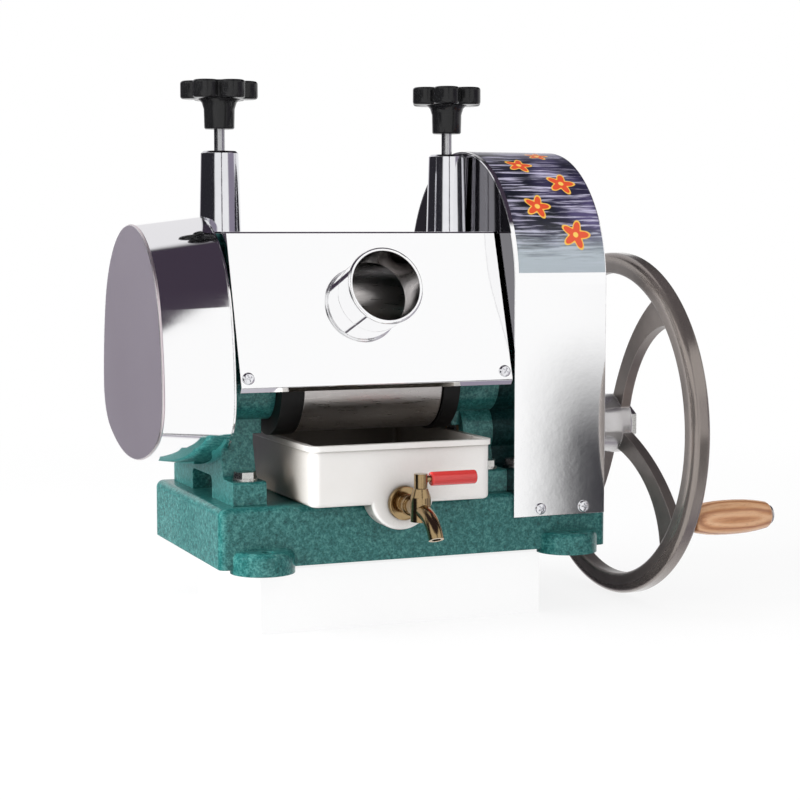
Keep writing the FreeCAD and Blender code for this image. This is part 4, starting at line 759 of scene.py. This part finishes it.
def makeSpring(side, x):
    mesh = bmesh.new()
    rings = []
    total = spring["turns"] * spring["steps"]
    low = spring["low"] + spring["wire"]
    rise = spring["length"] - 2 * spring["wire"]
    for step in range(total + 1):
        angle = 2 * math.pi * step / spring["steps"]
        out = Vector((math.cos(angle), math.sin(angle), 0))
        centre = Vector((x, 0, low + rise * step / total)) + out * spring["circle"]
        ring = []
        for place in range(spring["sides"]):
            around = 2 * math.pi * place / spring["sides"]
            spot = centre + (out * math.cos(around) + Vector((0, 0, math.sin(around)))) * spring["wire"]
            ring.append(mesh.verts.new(spot * mm))
        rings.append(ring)
    for ring, following in zip(rings, rings[1:]):
        joinRings(mesh, ring, following)
    mesh.faces.new(rings[0])
    mesh.faces.new(rings[-1])
    piece = finishPiece(f"{side}_coil_spring", mesh, "spring", "frame", [f"{side}_spring"],
                        autoAngle=60)
    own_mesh(piece)


for side, x in towerX.items():
    makeSpring(side, x)
print("coil springs made")


# camera as fitted to the photo, its place in metres

view = {"spot": (-0.65134, -1.66521, 0.29945), "turn": 22.08, "dip": 5.14, "lens": 84.19, "sensor": 36}


def makeCamera():
    data = bpy.data.cameras.new("photoCamera")
    data.lens = view["lens"]
    data.sensor_width = view["sensor"]
    camera = bpy.data.objects.new("photoCamera", data)
    camera.location = view["spot"]
    camera.rotation_euler = (math.radians(90 - view["dip"]), 0, math.radians(-view["turn"]))
    scene.collection.objects.link(camera)
    scene.camera = camera


makeCamera()


# pale floor, and a block that lifts the base so that the wheel's rim clears it

stage = {"floor": -0.0580, "size": 12.0, "blockX": (-0.150, 0.125), "blockY": 0.100, "gap": 0.0001,
         "pale": 0.86, "roughness": 0.9, "glow": 0.86, "near": 0.45, "far": 1.6}


def makePaleMaterial():
    # lit by the lamps near the machine, and even white far away
    material, tree, shader = startMaterial("paleFloor", Roughness=stage["roughness"])
    shader.inputs["Base Color"].default_value = (stage["pale"], stage["pale"], stage["pale"], 1)
    white = addNode(tree, "ShaderNodeEmission", None, {"Color": (1, 1, 1, 1), "Strength": 1.0}).outputs[0]
    light = addNode(tree, "ShaderNodeLightPath").outputs
    seen = calc(tree, "ADD", light["Is Camera Ray"], light["Is Glossy Ray"], clamp=True)
    away = vectorCalc(tree, "LENGTH", objectPlace(tree))["Value"]
    glow = remap(tree, away, stage["near"], stage["far"], stage["glow"], 1.0, smooth=True)
    share = calc(tree, "MULTIPLY", seen, glow)
    mixed = addNode(tree, "ShaderNodeMixShader", None, {0: share, 1: shader.outputs[0], 2: white})
    tree.links.new(mixed.outputs[0], tree.nodes["Material Output"].inputs["Surface"])
    return material


def addStage(name, mesh, material):
    data = bpy.data.meshes.new(name)
    mesh.to_mesh(data)
    mesh.free()
    data.materials.append(material)
    item = bpy.data.objects.new(name, data)
    scene.collection.objects.link(item)
    item.visible_glossy = False


def makeStage():
    pale = makePaleMaterial()
    floor = bmesh.new()
    bmesh.ops.create_grid(floor, x_segments=1, y_segments=1, size=stage["size"] / 2,
                          matrix=Matrix.Translation((0, 0, stage["floor"])))
    addStage("floor", floor, pale)
    left, right = stage["blockX"]
    block = bmesh.new()
    size = Matrix.Diagonal((right - left, 2 * stage["blockY"], -stage["floor"] - stage["gap"], 1))
    middle = Matrix.Translation(((left + right) / 2, 0, stage["floor"] / 2 - stage["gap"]))
    bmesh.ops.create_cube(block, size=1, matrix=middle @ size)
    addStage("plinth", block, pale)


makeStage()


# studio seen by the metal: bands of bright and dark by bearing and height

studio = {"white": (1.0, 1.0, 1.0), "pale": (0.8, 0.79, 0.81), "lilac": (0.21, 0.19, 0.225),
          "dark": (0.025, 0.024, 0.03), "purple": (0.048, 0.036, 0.055), "greyPurple": (0.28, 0.25, 0.32),
          "fill": (0.62, 0.62, 0.63)}
studioBands = {  # bearing in degrees, 0 towards -Y and positive towards +X, for three heights
    "low": [(-180, "white"), (-172, "pale"), (-164, "lilac"), (-154, "dark"), (-72, "dark"),
            (-60, "white"), (27, "white"), (40, "pale"), (60, "greyPurple"), (95, "pale"),
            (130, "white"), (180, "white")],
    "level": [(-180, "white"), (-172, "pale"), (-164, "lilac"), (-154, "dark"), (-50, "dark"),
              (-43, "white"), (31, "white"), (37, "greyPurple"), (74, "greyPurple"), (84, "pale"),
              (130, "white"), (180, "white")],
    "upper": [(-180, "pale"), (-158, "pale"), (-146, "dark"), (-110, "dark"), (-95, "white"), (70, "white"),
              (84, "dark"), (146, "dark"), (158, "pale"), (180, "pale")],
}
studioEdges = {  # degrees of bearing or rise over which one part fades into the next
    "lowToLevel": (-1.2, -0.2), "levelToUpper": (14, 20), "ceiling": (43, 48), "ceilingSides": (154, 144),
    "sheetSlope": 4.6, "sheetRise": 18.6, "sheetEdge": (-1.0, 1.0), "sheetLeft": (-9.0, -7.5),
    "sheetRight": (18.0, 15.5), "cornerLeft": (25.7, 27.9), "cornerTop": (-2.6, -7.0),
    "cornerRight": (40.0, 32.0),
}


def makeWorld():
    edges = studioEdges
    world = bpy.data.worlds.new("studio")
    scene.world = world
    world.use_nodes = True
    tree = world.node_tree
    part = splitVector(tree, addNode(tree, "ShaderNodeTexCoord").outputs["Generated"])
    forward = scaled(tree, part["Y"], -1.0)
    bearing = calc(tree, "DEGREES", calc(tree, "ARCTAN2", part["X"], forward))
    rise = calc(tree, "DEGREES", calc(tree, "ARCSINE", part["Z"]))
    turn = remap(tree, bearing, -180, 180)
    bands = {name: ramp(tree, turn, [((degrees + 180) / 360, studio[color]) for degrees, color in stops])
             for name, stops in studioBands.items()}
    shown = mixColor(tree, remap(tree, rise, *edges["lowToLevel"]), bands["low"], bands["level"])
    shown = mixColor(tree, remap(tree, rise, *edges["levelToUpper"], smooth=True), shown, bands["upper"])
    # purple ceiling, except behind
    sides = remap(tree, calc(tree, "ABSOLUTE", bearing), *edges["ceilingSides"])
    ceiling = calc(tree, "MULTIPLY", remap(tree, rise, *edges["ceiling"], smooth=True), sides)
    shown = mixColor(tree, ceiling, shown, studio["purple"])
    # dark sheet in front of the drum, its lower edge rising to the right
    lowerEdge = calc(tree, "MULTIPLY_ADD", bearing, edges["sheetSlope"], edges["sheetRise"])
    above = remap(tree, calc(tree, "SUBTRACT", rise, lowerEdge), *edges["sheetEdge"])
    hung = calc(tree, "MULTIPLY", above, remap(tree, bearing, *edges["sheetLeft"]))
    hung = calc(tree, "MULTIPLY", hung, remap(tree, bearing, *edges["sheetRight"]))
    shown = mixColor(tree, hung, shown, studio["purple"])
    # dark corner low on the right, seen by the flat strip
    corner = calc(tree, "MULTIPLY", remap(tree, bearing, *edges["cornerLeft"], smooth=True),
                  remap(tree, rise, *edges["cornerTop"], smooth=True))
    corner = calc(tree, "MULTIPLY", corner, remap(tree, bearing, *edges["cornerRight"]))
    shown = mixColor(tree, corner, shown, studio["dark"])
    light = addNode(tree, "ShaderNodeLightPath").outputs
    plain = mixColor(tree, light["Is Glossy Ray"], studio["fill"], shown)
    plain = mixColor(tree, light["Is Camera Ray"], plain, studio["white"])
    background = tree.nodes["Background"]
    tree.links.new(plain, background.inputs["Color"])
    background.inputs["Strength"].default_value = 1.0


makeWorld()


# soft lamps, places and sizes in metres and power in watts, all aimed at one point

aimPoint = (0, 0, 0.15)
lamps = {
    "keyLeft": {"spot": (-2.0, -0.1, 0.7), "size": 1.1, "power": 72},
    "fillFront": {"spot": (0.3, -2.2, 1.2), "size": 1.6, "power": 9},
    "topSoft": {"spot": (0.1, 0.1, 1.9), "size": 1.4, "power": 9},
}


def makeLamp(name, spot, size, power):
    data = bpy.data.lights.new(name, "AREA")
    data.energy = power
    data.size = size
    lamp = bpy.data.objects.new(name, data)
    lamp.location = spot
    lamp.rotation_euler = (Vector(aimPoint) - Vector(spot)).to_track_quat("-Z", "Y").to_euler()
    lamp.visible_glossy = False
    scene.collection.objects.link(lamp)


for name, values in lamps.items():
    makeLamp(name, **values)
print("stage and light ready")
